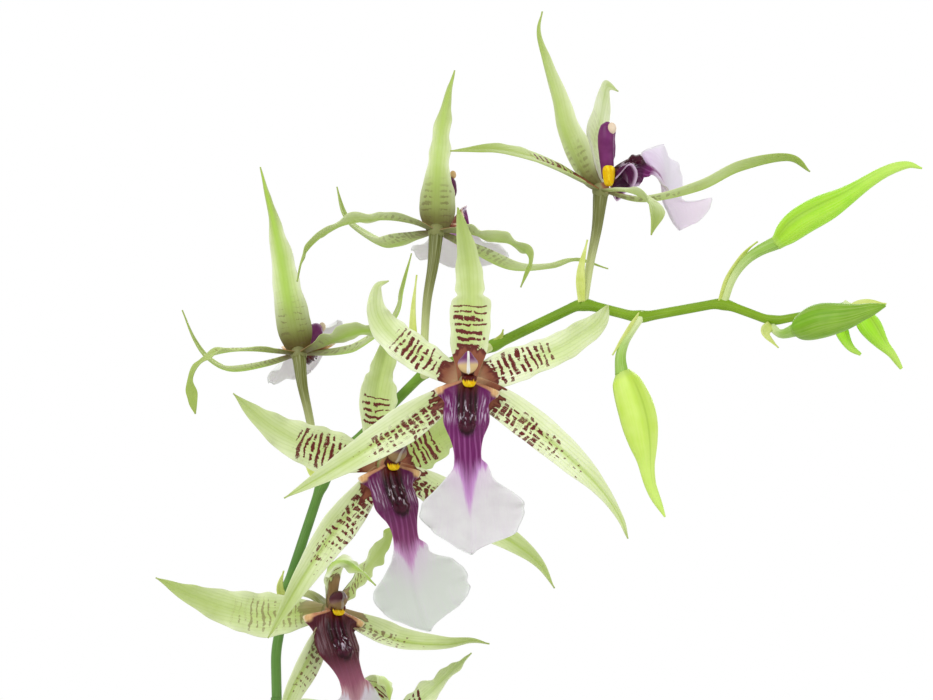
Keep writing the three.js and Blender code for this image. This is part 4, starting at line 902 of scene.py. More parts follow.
def lip_material():
    """A lip from root to tip: tan corner flaps, purple shoulders with pale threads that are partly painted
    sheen, a dark glossy callus with painted shade in its low places and painted highlight strokes, a striped
    purple waist that ends in a soft V, and a pale blade. On a warm lip the blade is greyed by painted shade,
    and behind it is paled towards white, partly its own colour and partly painted light. The style's third
    number is 1 on the yellow knob at the root, -0.5 on a lip whose root is tan behind, and -1 on one with a
    lilac rim instead of tan flaps."""
    material, shade, shader = new_material("lip")
    add, times, less, ease, mix, noise = shade.tools()
    along, across, front = shade.split(shade.attribute("share"))
    width, length, seed = shade.split(shade.attribute("lay"))
    relief, warmth_and_shade, knob = shade.split(shade.attribute("style"))
    side = shade.math("ABSOLUTE", width)
    rim = shade.math("ABSOLUTE", across)
    drawn = shade.vector(width, length, seed)
    threads = noise(shade.vector(times(width, 2.6), times(length, 0.25), seed), 1.1, 3.0)
    veins = shade.group(VEINS, {"Across": width, "Along": length, "Spacing": 1.15})["Mask"]
    # Blade
    blade = mix(noise(drawn, 0.3, 3.0), colour("cac6ca"), colour("dcdddb"))
    # Painted shade: a warm lip's blade is greyed towards green
    blade = mix(ease(warmth_and_shade, 0.0, 0.4), blade, colour("c3cbc1"))
    blade = mix(ease(knob, -0.6, -0.9), blade, colour("e9e0f4"))
    spread = shade.math("DIVIDE", times(width, 6.0), add(1.0, times(rim, 0.5)))
    fan = noise(shade.vector(spread, times(length, 0.1), seed), 1.0, 3.0)
    blade = mix(times(ease(fan, 0.5, 0.7), 0.25), blade, colour("cfc2d4"))
    blush = times(ease(add(along, times(side, 0.03)), 0.86, 0.58), 0.45)
    blade = mix(blush, blade, colour("d3b4d8"))
    blade = mix(times(ease(rim, 0.9, 1.0), 0.5), blade, colour("dde0e0"))
    # Purple shoulders and waist
    purple = mix(threads, colour("5c1650"), colour("7c2a6c"))
    purple = mix(times(veins, ease(along, 0.22, 0.36), 0.55), purple, colour("a25c98"))
    # Pale threads on the shoulders: partly the lip's own pale veins, partly painted sheen
    streaks = times(ease(threads, 0.5, 0.62), ease(rim, 0.34, 0.6), ease(rim, 1.0, 0.88))
    streaks = times(streaks, ease(along, 0.05, 0.12), ease(along, 0.3, 0.2))
    purple = mix(times(streaks, 0.8), purple, colour("d2bcd8"))
    rust = mix(ease(along, 0.28, 0.48), mix(threads, colour("34100f"), colour("5e2624")), colour("8f5566"))
    purple = mix(times(warmth_and_shade, 0.9), purple, rust)
    purple = mix(times(ease(knob, -0.6, -0.9), ease(along, 0.42, 0.3), 0.6), purple, colour("2e0824"))
    flame = shade.math("EXPONENT", times(side, side, -0.45))
    flame = times(flame, less(1.0, times(ease(warmth_and_shade, 0.0, 0.3), 0.5)))
    ragged = less(add(along, times(less(threads, 0.5), 0.09)), add(0.5, times(flame, 0.17)))
    halo = mix(warmth_and_shade, colour("c193c6"), colour("b08a90"))
    soft = add(0.02, times(flame, 0.07))
    face = mix(ease(ragged, times(soft, -2.4), times(soft, 0.6)), purple, halo)
    face = mix(ease(ragged, 0.0, add(0.04, times(flame, 0.12))), face, blade)
    beside = times(ease(side, 0.5, 1.4), ease(along, 0.4, 0.5), ease(knob, -0.6, -0.9))
    face = mix(beside, face, blade)
    # Callus
    wide = add(2.3, times(ease(along, 0.16, 0.32), -0.7))
    round_end = add(along, times(side, side, 0.011))
    callus = times(ease(side, add(wide, 0.6), less(wide, 0.6)), ease(round_end, 0.36, 0.32))
    # Painted shade: the callus is darkest where it lies low, lighter on its raised ridges and knobs
    dark = mix(ease(relief, 0.4, 1.2), colour("24060f"), colour("451428"))
    dark = mix(ease(along, 0.12, 0.03), dark, colour("551b17"))
    # Painted highlights: pale strokes on the callus, where the coat also shines
    highlight_strokes = noise(shade.vector(times(width, 1.9), times(length, 0.45), add(seed, 9.0)), 1.3, 2.0, 0.4)
    highlight_strokes = times(ease(highlight_strokes, 0.56, 0.67), ease(along, 0.12, 0.19), ease(along, 0.31, 0.25))
    dark = mix(times(highlight_strokes, 0.8), dark, colour("cfbfd0"))
    face = mix(callus, face, dark)
    # Tan flaps and strip
    flap = times(ease(side, 4.7, 5.4), ease(along, 0.075, 0.055))
    behind = times(less(1.0, front), ease(knob, 0.0, -0.4), ease(along, 0.3, 0.2))
    flap = shade.math("MAXIMUM", flap, behind)
    strip = ease(less(along, add(0.012, times(side, 0.0085))), 0.006, -0.004)
    tan = mix(threads, colour("cf9a64"), colour("ecc898"))
    tan = mix(times(ease(side, 5.6, 4.6), 0.7), tan, colour("b0705a"))
    tan = mix(times(ease(knob, 0.0, -0.4), 0.6), tan, colour("d89a86"))
    tan = mix(ease(rim, 0.9, 1.0), tan, colour("f0d8b8"))
    purple_rim = times(ease(rim, 0.86, 0.98), ease(along, 0.3, 0.2), ease(knob, -0.6, -0.9))
    face = mix(times(shade.math("MAXIMUM", flap, strip), ease(knob, -0.9, -0.6)), face, tan)
    face = mix(times(purple_rim, 0.8), face, colour("dcc0e0"))
    # The blade's back is paled towards white: partly its own colour, partly painted light through the thin
    # petal
    pale_back_and_painted_light = mix(ease(knob, -0.6, -0.9), colour("fbfbfd"), colour("f0def8"))
    face = mix(times(less(1.0, front), ease(along, 0.4, 0.6), 0.95), face, pale_back_and_painted_light)
    yellow = mix(ease(noise(drawn, 1.2, 2.0), 0.5, 0.66), colour("e6b90a"), colour("f2d82a"))
    ticks = add(length, times(less(noise(shade.vector(times(width, 2.2), 0.0, seed), 1.0, 1.0), 0.5), 1.6))
    maroon = times(ease(ticks, -0.15, 0.2), ease(knob, 0.7, 0.9))
    face = mix(ease(knob, 0.3, 0.5), face, mix(maroon, yellow, colour("551712")))
    bumps = times(callus, noise(drawn, 2.2, 2.0), 1.2)
    height = add(times(veins, 0.7, ease(along, 0.7, 0.5)), times(threads, 0.5), bumps)
    shine = times(shade.math("MAXIMUM", callus, times(ease(along, 0.4, 0.25), 0.8)), front)
    rough = less(0.5, times(shine, 0.32))
    links = {"Base Color": face, "Roughness": rough, "Coat Weight": times(highlight_strokes, callus)}
    links["Normal"] = shade.bump(height, 0.00014, 0.6)
    thin = {"Specular IOR Level": 0.16, "Coat Roughness": 0.1, "Subsurface Weight": 0.45}
    thin["Subsurface Scale"] = 0.0014
    thin["Subsurface Radius"] = (1.0, 0.85, 1.0)
    finish_material(shade, shader, links, thin)
    return material


def column_material():
    """A purple column. On its under side it pales through lilac to cream and darkens to maroon at its
    foot, with a white tear down its middle; a bloom with a cap keeps its under side purple. Lay holds
    the place across and under in mm."""
    material, shade, shader = new_material("column")
    add, times, less, ease, mix, noise = shade.tools()
    along, _, under = shade.split(shade.attribute("share"))
    aside, _, below = shade.split(shade.attribute("lay"))
    cap, dusky, pale = shade.split(shade.attribute("style"))
    scaled = {0: shade.object_place(), 1: (1000, 1000, 1000)}
    drawn = shade.node("ShaderNodeVectorMath", scaled, operation="MULTIPLY").outputs[0]
    cloud = noise(drawn, 0.5, 3.0)
    purple = mix(cloud, colour("5c1250"), colour("853a78"))
    purple = mix(times(dusky, 0.9), purple, colour("421614"))
    turned = add(times(below, 0.6), times(less(cloud, 0.5), 0.3), times(less(0.6, along), 2.6))
    cream = mix(ease(turned, 0.0, 0.6), colour("b08aa6"), colour("dcbe88"))
    cream = mix(times(dusky, 0.8), cream, colour("6a4a2a"))
    face = mix(times(ease(turned, -0.4, 0.25), pale), purple, cream)
    face = mix(times(ease(along, 0.42, 0.34), ease(under, -0.1, 0.2), pale), face, colour("3f0d14"))
    wide = add(0.08, times(add(below, 1.1), 0.11))
    tear = times(ease(less(wide, shade.math("ABSOLUTE", aside)), -0.06, 0.06), pale)
    tear = times(tear, ease(below, -1.1, -0.7), ease(along, 0.38, 0.44), less(1.0, times(dusky, 0.8)))
    face = mix(tear, face, colour("f4f4ee"))
    creamy = mix(noise(drawn, 1.1, 2.0), colour("dfc0a0"), colour("f2e6d2"))
    creamy = mix(dusky, creamy, colour("d9a440"))
    face = mix(cap, face, creamy)
    rough = add(0.3, times(cloud, 0.2))
    relief = noise(drawn, 1.2, 2.0)
    links = {"Base Color": face, "Roughness": rough, "Normal": shade.bump(relief, 0.00008, 0.5)}
    finish_material(shade, shader, links, {"Specular IOR Level": 0.2})
    return material


def green_material(name, tones, bumpy, rough_low, size, streaky=0.4):
    """A waxy green skin: mottled tone with lengthwise streaks that goes from the first two tones to the
    last two as lay's first number and the share along it grow."""
    tones = [colour(tone) for tone in tones.split()]
    material, shade, shader = new_material(name)
    add, times, _, ease, mix, noise = shade.tools()
    along, round_x, round_y = shade.split(shade.attribute("share"))
    tone, length, _ = shade.split(shade.attribute("lay"))
    tint = shade.group(MOTTLE, {"Size": size, "Stretch": (1, 1, 1)})["Mask"]
    streaks = noise(shade.vector(times(round_x, 2.4), times(round_y, 2.4), times(length, 0.05)), 2.2, 3.0)
    speck = ease(noise(shade.vector(round_x, round_y, times(length, 0.4)), 3.1, 2.0), 0.62, 0.7)
    near = mix(tint, tones[0], tones[1])
    far = mix(tint, tones[2], tones[3])
    face = mix(times(tone, ease(along, 0.15, 0.8)), near, far)
    face = mix(times(ease(streaks, 0.48, 0.7), streaky), face, mix(0.5, face, colour("eef4c8")))
    face = mix(times(speck, 0.12), face, colour("6a6a30"))
    relief = add(streaks, times(tint, 0.3))
    rough = add(rough_low, times(streaks, 0.2))
    links = {"Base Color": face, "Roughness": rough, "Normal": shade.bump(relief, bumpy, 0.6)}
    finish_material(shade, shader, links, {"Specular IOR Level": 0.3})
    return material


def bud_material():
    """A bud's skin: fine lengthwise veins, and three soft green stripes with a crease between its closed
    tepals. Lay's first number goes from a pale bud through a vivid one to an olive one."""
    material, shade, shader = new_material("bud")
    add, times, less, ease, mix, noise = shade.tools()
    along, round_x, round_y = shade.split(shade.attribute("share"))
    deep, length, turned = shade.split(shade.attribute("lay"))
    tint = shade.group(MOTTLE, {"Size": 0.012, "Stretch": (1, 1, 1)})["Mask"]
    fibres = noise(shade.vector(times(round_x, 4.0), times(round_y, 4.0), times(length, 0.03)), 1.6, 3.0)
    pale = mix(tint, colour("cdeb58"), colour("d9f27c"))
    vivid = mix(tint, colour("9be01a"), colour("b4e83c"))
    olive = mix(tint, colour("6c9a16"), colour("84b22c"))
    face = mix(ease(deep, 0.0, 0.6), pale, vivid)
    face = mix(ease(deep, 0.7, 1.0), face, olive)
    face = mix(times(ease(fibres, 0.44, 0.66), 0.3), face, mix(0.5, face, colour("f2f8b0")))
    stripe = times(ease(turned, 0.45, 1.0), ease(along, 0.75, 0.1))
    face = mix(times(stripe, 0.6), face, mix(deep, colour("b4d23c"), colour("78b80a")))
    crease = times(ease(turned, 0.965, 1.0), ease(along, 0.02, 0.15), ease(along, 0.95, 0.6))
    face = mix(times(crease, 0.4), face, mix(deep, colour("98b838"), colour("6a9c1c")))
    face = mix(times(ease(along, 0.06, 0.0), 0.6), face, colour("b4cf70"))
    face = mix(times(ease(along, 0.4, 0.9), 0.65, less(1.0, ease(deep, 0.8, 1.0))), face, colour("cdea78"))
    height = less(fibres, times(crease, 0.9))
    rough = add(0.38, times(fibres, 0.16))
    links = {"Base Color": face, "Roughness": rough, "Normal": shade.bump(height, 0.00005, 0.6)}
    thin = {"Specular IOR Level": 0.25, "Subsurface Weight": 0.15, "Subsurface Scale": 0.001}
    thin["Subsurface Radius"] = (0.8, 1.0, 0.3)
    finish_material(shade, shader, links, thin)
    return material


def leaf_material():
    """Leathery green blade: fine lengthwise veins, a paler midrib and a yellower edge."""
    material, shade, shader = new_material("leaf")
    add, times, less, ease, mix, _ = shade.tools()
    along, across, front = shade.split(shade.attribute("share"))
    width, length, _ = shade.split(shade.attribute("lay"))
    tint = shade.group(MOTTLE, {"Size": 0.03, "Stretch": (1, 1, 1)})["Mask"]
    veins = shade.group(VEINS, {"Across": width, "Along": times(length, 0.2), "Spacing": 1.6})["Mask"]
    rim = shade.math("ABSOLUTE", across)
    face = mix(tint, colour("3d6a24"), colour("5c8a38"))
    face = mix(times(veins, 0.3), face, colour("2f591c"))
    face = mix(times(ease(rim, 0.07, 0.0), 0.6), face, colour("8fb45a"))
    face = mix(times(ease(rim, 0.9, 1.0), 0.6), face, colour("9bb35c"))
    face = mix(times(ease(along, 0.93, 1.0), 0.7), face, colour("a58a4a"))
    face = mix(times(ease(along, 0.14, 0.0), 0.6), face, colour("a9bf6e"))
    face = mix(times(less(1.0, front), 0.35), face, colour("7fa056"))
    rough = add(0.36, times(tint, 0.14))
    links = {"Base Color": face, "Roughness": rough, "Normal": shade.bump(veins, 0.0002, 0.5)}
    finish_material(shade, shader, links, {"Specular IOR Level": 0.5})
    return material


def sheath_material():
    """Dry, papery tan scales with long brown fibres."""
    material, shade, shader = new_material("dry_sheath")
    _, times, _, ease, mix, noise = shade.tools()
    width, length, seed = shade.split(shade.attribute("lay"))
    fibres = noise(shade.vector(times(width, 2.2), times(length, 0.12), seed), 1.2, 4.0)
    face = mix(ease(fibres, 0.35, 0.7), colour("8d7146"), colour("d3bd8d"))
    tint = shade.group(MOTTLE, {"Size": 0.008, "Stretch": (1, 1, 1)})["Mask"]
    face = mix(times(tint, 0.35), face, colour("6f5230"))
    links = {"Base Color": face, "Normal": shade.bump(fibres, 0.0003, 0.8)}
    finish_material(shade, shader, links, {"Roughness": 0.75})
    return material


def terracotta_material():
    """Unglazed clay: fine turning lines, sandy grain, pale bloom of salts and a darker damp foot."""
    material, shade, shader = new_material("terracotta")
    add, times, _, ease, mix, noise = shade.tools()
    place = shade.object_place()
    _, _, z = shade.split(place)
    clouds = shade.group(MOTTLE, {"Size": 0.04, "Stretch": (1, 1, 1.6)})["Mask"]
    salts = noise(place, 38.0, 6.0, 0.6)
    lines = noise(shade.vector(0.0, 0.0, z), 900.0, 2.0)
    grain = noise(place, 2600.0, 2.0)
    speck = ease(noise(place, 900.0, 1.0), 0.66, 0.74)
    face = mix(clouds, colour("a9573a"), colour("c4744f"))
    face = mix(times(ease(salts, 0.52, 0.72), 0.4), face, colour("dcb9a2"))
    face = mix(times(ease(z, 0.075, 0.02), 0.35), face, colour("8a4630"))
    face = mix(times(speck, 0.45), face, colour("7c3d28"))
    height = add(times(lines, 0.8), times(grain, 0.5))
    rough = add(0.78, times(clouds, 0.14))
    links = {"Base Color": face, "Roughness": rough, "Normal": shade.bump(height, 0.0004, 0.5)}
    finish_material(shade, shader, links, {})
    return material


def bark_material():
    """Dry bark: a tone for each chip, layered grain along it and pale worn patches."""
    material, shade, shader = new_material("bark")
    add, times, _, ease, mix, noise = shade.tools()
    tone, length, across = shade.split(shade.attribute("lay"))
    layers = noise(shade.vector(times(length, 0.25), across, times(tone, 40.0)), 1.6, 5.0, 0.4)
    face = mix(tone, colour("3f2617"), colour("8a5a38"))
    face = mix(ease(layers, 0.42, 0.66), face, colour("2a170d"))
    tint = shade.group(MOTTLE, {"Size": 0.006, "Stretch": (1, 1, 1)})["Mask"]
    face = mix(times(tint, 0.4), face, colour("a57a50"))
    height = add(layers, times(tint, 0.4))
    links = {"Base Color": face, "Normal": shade.bump(height, 0.0009, 0.8)}
    finish_material(shade, shader, links, {"Roughness": 0.9})
    return material


def blade_width(t, claw, peak, fall, neck=1.0):
    """Share of the widest half width: (claw + rest · smooth to the peak) · (neck + rest · smooth to 0.09),
    times 1 - (way past the peak) to the power of fall."""
    rise = (claw + (1 - claw) * smooth(0, peak, t)) * (neck + (1 - neck) * smooth(0, 0.09, t))
    past = np.clip((t - peak) / (1 - peak), 0, 1)
    return rise * (1 - past**fall)


def ruffles(draw, t, v, ripples):
    """The sum of size · sin(2π · cycles · t + phase), each phase drawn for the left edge and the right."""
    total = 0.0
    for cycles, size in ripples:
        left, right = draw.uniform(0, 2 * np.pi, 2)
        total = total + size * np.sin(2 * np.pi * cycles * t + np.where(v < 0, left, right))
    return total


def tepal(bloom_name, name, seed):
    """A tepal's shell: half width · across to the side; along the normal a fold as |across|^1.5, a wave
    as across² · cos(2π · waves · t), a finer ruffle at the edges and a groove down the midrib."""
    bloom = BLOOMS[bloom_name]
    kind_name = name.split("_")[0]
    kind = TEPAL_KINDS[kind_name]
    t = np.linspace(0, 1, TEPAL_ROWS)
    v = np.sin(np.pi / 2 * np.linspace(-1, 1, TEPAL_COLUMNS))
    heart = np.array(bloom["heart"], float)
    points = np.vstack([heart, heart + bloom[name]])
    looks = bloom.get("turned", {}).get(name, [bloom["facing"]] * 2)
    root, tip = (unit(np.array(facing, float)) for facing in looks)
    place, _, side, normal, length = frame_on(points, t, root + (tip - root) * t[:, None])
    if (bloom_name, name) in TEPAL_OUTLINES:
        half = profile(TEPAL_OUTLINES[bloom_name, name], t)
    else:
        half = kind["width"] / 2 * blade_width(t, kind["claw"], kind["peak"], kind["fall"], TEPAL_NECK)
    half = np.maximum(0.16, half)[:, None]
    t, v = t[:, None], v[None]
    wavy = kind["wave"] * bloom.get("calm", 1.0)
    window = smooth(0.12, 0.35, t) * (1 - smooth(0.8, 1, t))
    ruffle = ruffles(np.random.default_rng(seed), t, v, TEPAL_RUFFLES)
    scallop = 0.1 * (0.2 + wavy) * v**4 * ruffle
    wave = wavy * v**2 * np.cos(2 * np.pi * TEPAL_WAVES * t)
    crisp = wavy * np.abs(v) ** 3 * ruffle
    groove = -0.22 * np.exp(-((v * half / 0.5) ** 2)) * smooth(0.02, 0.2, t) * (1 - smooth(0.7, 1, t))
    across = v * half * (1 + scallop * window)
    lift = kind["fold"] * np.abs(v) ** 1.5 * half + (wave + crisp) * window + groove
    depth = TEPAL_DEPTH * np.sqrt(np.maximum(0, 1 - v**4)) * (1 - 0.5 * smooth(0.3, 1, t))
    middle = laid(place, side, normal, across, lift)
    shell = wrapped(middle, depth, depth, t, v, over(across, across, t * length, seed))
    # Light: how pale the tepal is, partly its own tone and partly painted light and shade
    light = bloom.get("light", {}).get(name, TEPAL_LIGHT[kind_name])
    extra = [bloom.get("rib", 0.3), bloom.get("faint", {}).get(name, 0.0), light]
    style = np.array(TEPAL_MARKS[kind_name]) * [1, 1, LOWER_SIDE.get(name, 1.0)]
    shell[3]["style"] = np.tile(style, (len(shell[0]), 1))
    shell[3]["extra"] = np.tile(extra, (len(shell[0]), 1))
    return shell


def rounded(centre, half, power, marks, taper=0.0):
    """A shell |x|^power + |y|^power + |z|^power = 1, stretched to its half sizes, x widened by taper · z,
    from pole to pole. Marks gives each attribute from the directions out of the centre, [row, place, 3]."""
    out = ball(21, 28, 0.04)
    block = out / (np.abs(out) ** power).sum(-1, keepdims=True) ** (1 / power)
    block[..., 0] *= 1 + taper * block[..., 2]
    return tube(np.array(centre, float) + block * np.array(half, float), marks(out))


def heart_ball(bloom, seed):
    """The round heart where the tepals meet, brown where the bloom faces and olive behind."""
    facing = unit(np.array(bloom["facing"], float))

    def marks(out):
        return {
            "share": over(out, 0.05, 0.3, smooth(0.4, 0.8, out @ facing)),
            "lay": over(out, 2.0, 2.5, seed),
            "style": over(out, 7.0, 0.4, 0),
            "extra": over(out, 0, 0, 0.3),
        }

    return rounded(bloom["heart"], [HEART_RADIUS * 0.72] * 3, 2, marks)


def lip_knob(bloom):
    """The yellow knob at a lip's root; its lay's second number is how far up its top a point lies."""
    place, half = bloom["knob"]

    def marks(out):
        return {
            "share": over(out, 0.02, 0.2, 1),
            "lay": over(out, out[..., 0] * half[0], out[..., 2], 3),
            "style": over(out, 0, 0, 1 - bloom.get("plain_knob", 0.0)),
        }

    return rounded(np.array(bloom["heart"]) + place, half, 3.2, marks, 0.2)


def callus_relief(across, t, length):
    """How far the callus rises: a low ridged cushion of exp(-(across / 1.9)^4) down the middle of the
    root, and knobs of height · exp(-(distance / size)²)."""
    span = smooth(0.0, 0.04, t) * (1 - smooth(0.28, 0.34, t))
    ridges = 0.75 + 0.25 * np.cos(2 * np.pi * across / CALLUS_RIDGE_SPACING)
    raised = 1.15 * span * np.exp(-((across / 1.9) ** 4)) * ridges
    for at, aside, size, height in CALLUS_KNOBS:
        gap = ((across - aside) ** 2 + ((t - at) * length) ** 2) / size**2
        raised = raised + height * np.exp(-gap)
    return raised


def lip(bloom, seed):
    """A lip's shell: half width · across · cos(fold) to the side and sin(fold) · |across|^1.5 to the front,
    ruffled at the blade's edge, with the callus raised on the front of its root. A blade with margins
    runs from the middle line to the margin on either side by |across| instead."""
    root_rows = np.linspace(0, LIP_ROOT_END, LIP_ROOT_ROWS, endpoint=False)
    t = np.concatenate([root_rows, np.linspace(LIP_ROOT_END, 1, LIP_BLADE_ROWS)])[:, None]
    v = np.linspace(1, -1, LIP_COLUMNS)[None]
    v = np.sign(v) * np.abs(v) ** 0.9
    heart = np.array(bloom["heart"], float)
    root = unit(np.array(bloom["facing"], float)) * (HEART_RADIUS + 0.6)
    place, direction, length = line_through(np.vstack([heart + root, heart + bloom["lip"]]), t[:, 0])
    side = np.broadcast_to(unit(np.array(bloom["lip_side"], float)), place.shape)
    side = unit(side - (side * direction).sum(-1, keepdims=True) * direction)
    if "blade_side" in bloom:
        share = smooth(0.3, 0.6, t)
        side = unit(side * (1 - share) + unit(np.array(bloom["blade_side"], float)) * share)
    held = 0 * t
    edges = np.zeros((2, *place.shape))
    if "margins" in bloom:
        held = smooth(MARGIN_START - 0.06, MARGIN_START + 0.06, t)
        reach = np.clip((t[:, 0] - MARGIN_START) / (1 - MARGIN_START), 0, 1)
        edges = [line_through(heart + line, reach)[0] - place for line in bloom["margins"]]
        side = unit(side * (1 - held) + (edges[0] - edges[1] + 0.01 * side) * held)
    back = unit(np.cross(side, direction))
    bladed = smooth(0.4, 0.6, t)
    shoulder = (1 - smooth(0.3, 0.5, t)) * (0.2 + 0.8 * smooth(0.03, 0.14, t))
    slim = 1 - (1 - bloom.get("lip_root", 1.0)) * (1 - smooth(0.3, 0.5, t))
    half = LIP_HALF_WIDTH * slim * np.where(v < 0, profile(LIP_LEFT, t), profile(LIP_RIGHT, t))
    shoulder_fold = bloom.get("shoulder_fold", SHOULDER_FOLD)
    fold = np.radians(bladed * bloom.get("lip_fold", LIP_FOLD) - shoulder * shoulder_fold)
    ruffle = ruffles(np.random.default_rng(seed), t, v, LIP_RUFFLES)
    edge = bladed * np.abs(v) ** 5
    across = v * half * (1 + 0.035 * ruffle * edge)
    keel = 0.3 * bladed * np.exp(-((across / 0.7) ** 2)) * (1 - smooth(0.9, 1, t))
    cup = 0.6 * bladed * (1 - v**2) * smooth(0.5, 0.75, t)
    curl = 1.1 * (1 - smooth(0.06, 0.16, t)) * np.sin(np.pi * np.clip(t / 0.16, 0, 1))
    behind = keel + cup + curl * smooth(0.55, 1, np.abs(v)) - np.sin(fold) * np.abs(v) ** 1.5 * half
    free = laid(place, side, back, across * np.cos(fold), behind - ruffle * edge)
    drawn = np.where(v[..., None] > 0, edges[0][:, None], edges[1][:, None]) * np.abs(v)[..., None]
    flat = side[:, None] * (across * np.cos(fold))[..., None]
    middle = free + (drawn - flat) * held[..., None]
    raised = callus_relief(across, t, length)
    thick = LIP_DEPTH * np.sqrt(np.maximum(0, 1 - v**6)) * (1 - 0.4 * bladed)
    lay = over(across, across / slim, t * length, seed)
    shell = wrapped(middle, thick + raised * (np.abs(v) < 0.999), thick, t, v, lay)
    relief = np.hstack([raised, raised[:, -2:0:-1]])
    style = over(relief, relief, bloom.get("warm", 0.0), bloom.get("flaps", 0.0)).reshape(-1, 3)
    shell[3]["style"] = np.vstack([style, style[:1], style[-1:]])
    return shell


def column(bloom):
    """A column's shell: radius(t) out from its line, with two low wings, a dent beneath its tip and a
    thin ridge down the middle of its under side. It ends in a point, or round where it has a cap."""
    heart = np.array(bloom["heart"], float)
    reach = np.array(bloom["column"], float)
    facing = unit(np.array(bloom["facing"], float))
    start = facing * HEART_RADIUS * 0.75 + unit(reach) * HEART_RADIUS * 0.55
    middle = (start + reach) / 2 - 0.5 * facing
    tip_rows = COLUMN_TIP_START + (1 - COLUMN_TIP_START) * np.sin(np.linspace(0, np.pi / 2, 16))
    t = np.concatenate([np.linspace(0, COLUMN_TIP_START, 40, endpoint=False), tip_rows])
    looking = unit(np.array(bloom.get("column_facing", bloom["facing"]), float))
    place, _, side, normal, length = frame_on(heart + np.array([start, middle, reach]), t, looking)
    angle = circle(64)
    lateral, under = np.cos(angle), np.sin(angle)
    t = t[:, None]
    radii, wing_at = (CAPPED_RADII, 0.66) if "cap" in bloom else (POINTED_RADII, 0.5)
    wing = np.exp(-(((t - wing_at) / 0.15) ** 2)) * np.abs(lateral) ** 4
    dent = -0.35 * np.exp(-(((t - 0.72) / 0.13) ** 2)) * np.clip(under, 0, 1) ** 2
    ridged = smooth(0.3, 0.4, t) * (1 - smooth(0.85, 0.95, t)) * (under > 0)
    out = profile(radii, t) * (1 + 0.22 * wing) + dent + 0.3 * np.exp(-((lateral / 0.1) ** 2)) * ridged
    marks = {
        "share": over(out, t, lateral, under),
        "lay": over(out, out * lateral, t * length, out * under),
        "style": over(out, 0, bloom.get("dusky", 0.0), "cap" not in bloom),
    }
    return tube(laid(place, side, normal, out * lateral, out * under * COLUMN_DEPTH), marks)


def column_cap(bloom):
    """The small round cap beside a column's tip."""
    *place, size = bloom["cap"]
    centre = np.array(bloom["heart"], float) + bloom["column"] + place

    def marks(out):
        return {
            "share": over(out, 0.85, 0.9, 0),
            "lay": over(out, 0, 0, 0),
            "style": over(out, 1, bloom.get("dusky", 0.0), 0),
        }

    return rounded(centre, [size, size, size * 1.3], 2, marks)


def stretched(points, at_start, at_end):
    """The points with each end moved out along the line by that many mm."""
    p = np.array(points, float)
    first = p[0] + unit(p[0] - p[1]) * at_start
    last = p[-1] + unit(p[-1] - p[-2]) * at_end
    return np.vstack([first, p[1:-1], last])


def narrow_blade(shape, kind, facing, seed):
    """A plain blade's shell: half width · across to the side, and fold · (√(across² + 0.01) - 0.1) · half
    width along the normal, with a slow sway of its edges."""
    t = np.linspace(0, 1, kind["rows"])
    v = np.sin(np.pi / 2 * np.linspace(-1, 1, kind["columns"]))[None]
    place, _, side, normal, length = frame_on(shape["line"], t, facing)
    t = t[:, None]
    half = np.maximum(0.2, shape["width"] / 2 * blade_width(t, kind["claw"], kind["peak"], kind["fall"]))
    across = v * half
    fold = kind["fold"] + kind["foot_fold"] * (1 - smooth(0, 0.3, t))
    sway = kind["sway"] * v * np.sin(2 * np.pi * 1.7 * t + seed) * smooth(0.2, 0.5, t)
    lift = fold * (np.sqrt(v**2 + 0.01) - 0.1) * half + sway
    thick = kind["depth"] * np.sqrt(np.maximum(0, 1 - v**4)) * (1 - 0.4 * smooth(0.6, 1, t))
    middle = laid(place, side, normal, across, lift)
    return wrapped(middle, thick, thick, t, v, over(across, across, t * length, seed))


def bud(shape):
    """A bud's shell: its radii along its line, with three shallow seams that run its length. Its lay is
    (depth of green, mm along, how near a seam)."""
    t = np.concatenate([[0, 0.01], np.linspace(0.03, 1, 70)])
    foot = BUD_STALK_RADII[-1]
    radius = foot + (evenly(shape["radii"], t) - foot) * np.sqrt(smooth(0, 0.08, t))
    around = 48
    seams = 3
    depth = 0.055 * smooth(0.05, 0.3, t)
    shell = sweep(shape["line"], t, radius, around=around, ridges=seams, depth=depth)
    shell[3]["lay"][:-2, 2] = np.tile(0.5 - 0.5 * np.cos(seams * circle(around)), len(t))
    shell[3]["lay"][:, 0] = shape["deep"]
    return shell


def stem_shells():
    """The stalk, and the spray with a knuckle of 0.35 · exp(-(distance / 1.8)²) at each branch."""
    t = np.linspace(0, 1, 200)
    stalk = sweep(STALK_LINE, t, evenly(STALK_RADII, t), STEM_FACING, ridges=5, depth=0.015)
    t = np.linspace(0, 1, 320)
    radius = evenly(SPRAY_RADII, t)
    line = cornered(SPRAY_NODES, SPRAY_BEND)
    place, _, _ = line_through(line, t)
    for foot in [b["pedicel"][0] for b in BLOOMS.values()] + [b["stalk"][0] for b in BUDS.values()]:
        near = np.linalg.norm(place - np.array(foot, float), axis=1)
        radius = radius + 0.35 * np.exp(-((near / 1.8) ** 2))
    return [stalk, sweep(line, t, radius, STEM_FACING, ridges=5, depth=0.02, tone=1.0)]


def pedicel_shells():
    """The pedicels of the blooms, with six ribs that rise towards the bloom."""
    t = np.linspace(0, 1, 60)
    radius = evenly(PEDICEL_RADII, t)
    depth = 0.07 * smooth(0.35, 0.75, t)
    lines = [stretched([*bloom["pedicel"], bloom["heart"]], 1.2, -0.9) for bloom in BLOOMS.values()]
    return [sweep(line, t, radius, STEM_FACING, 30, 6, depth, 1.0) for line in lines]


def stalk_shells():
    """The stalks of the buds, with six low ribs."""
    t = np.linspace(0, 1, 50)
    radius = evenly(BUD_STALK_RADII, t)
    lines = [stretched(shape["stalk"], 1.2, 0.8) for shape in BUDS.values()]
    return [sweep(line, t, radius, STEM_FACING, 30, 6, 0.04, 1.0) for line in lines]


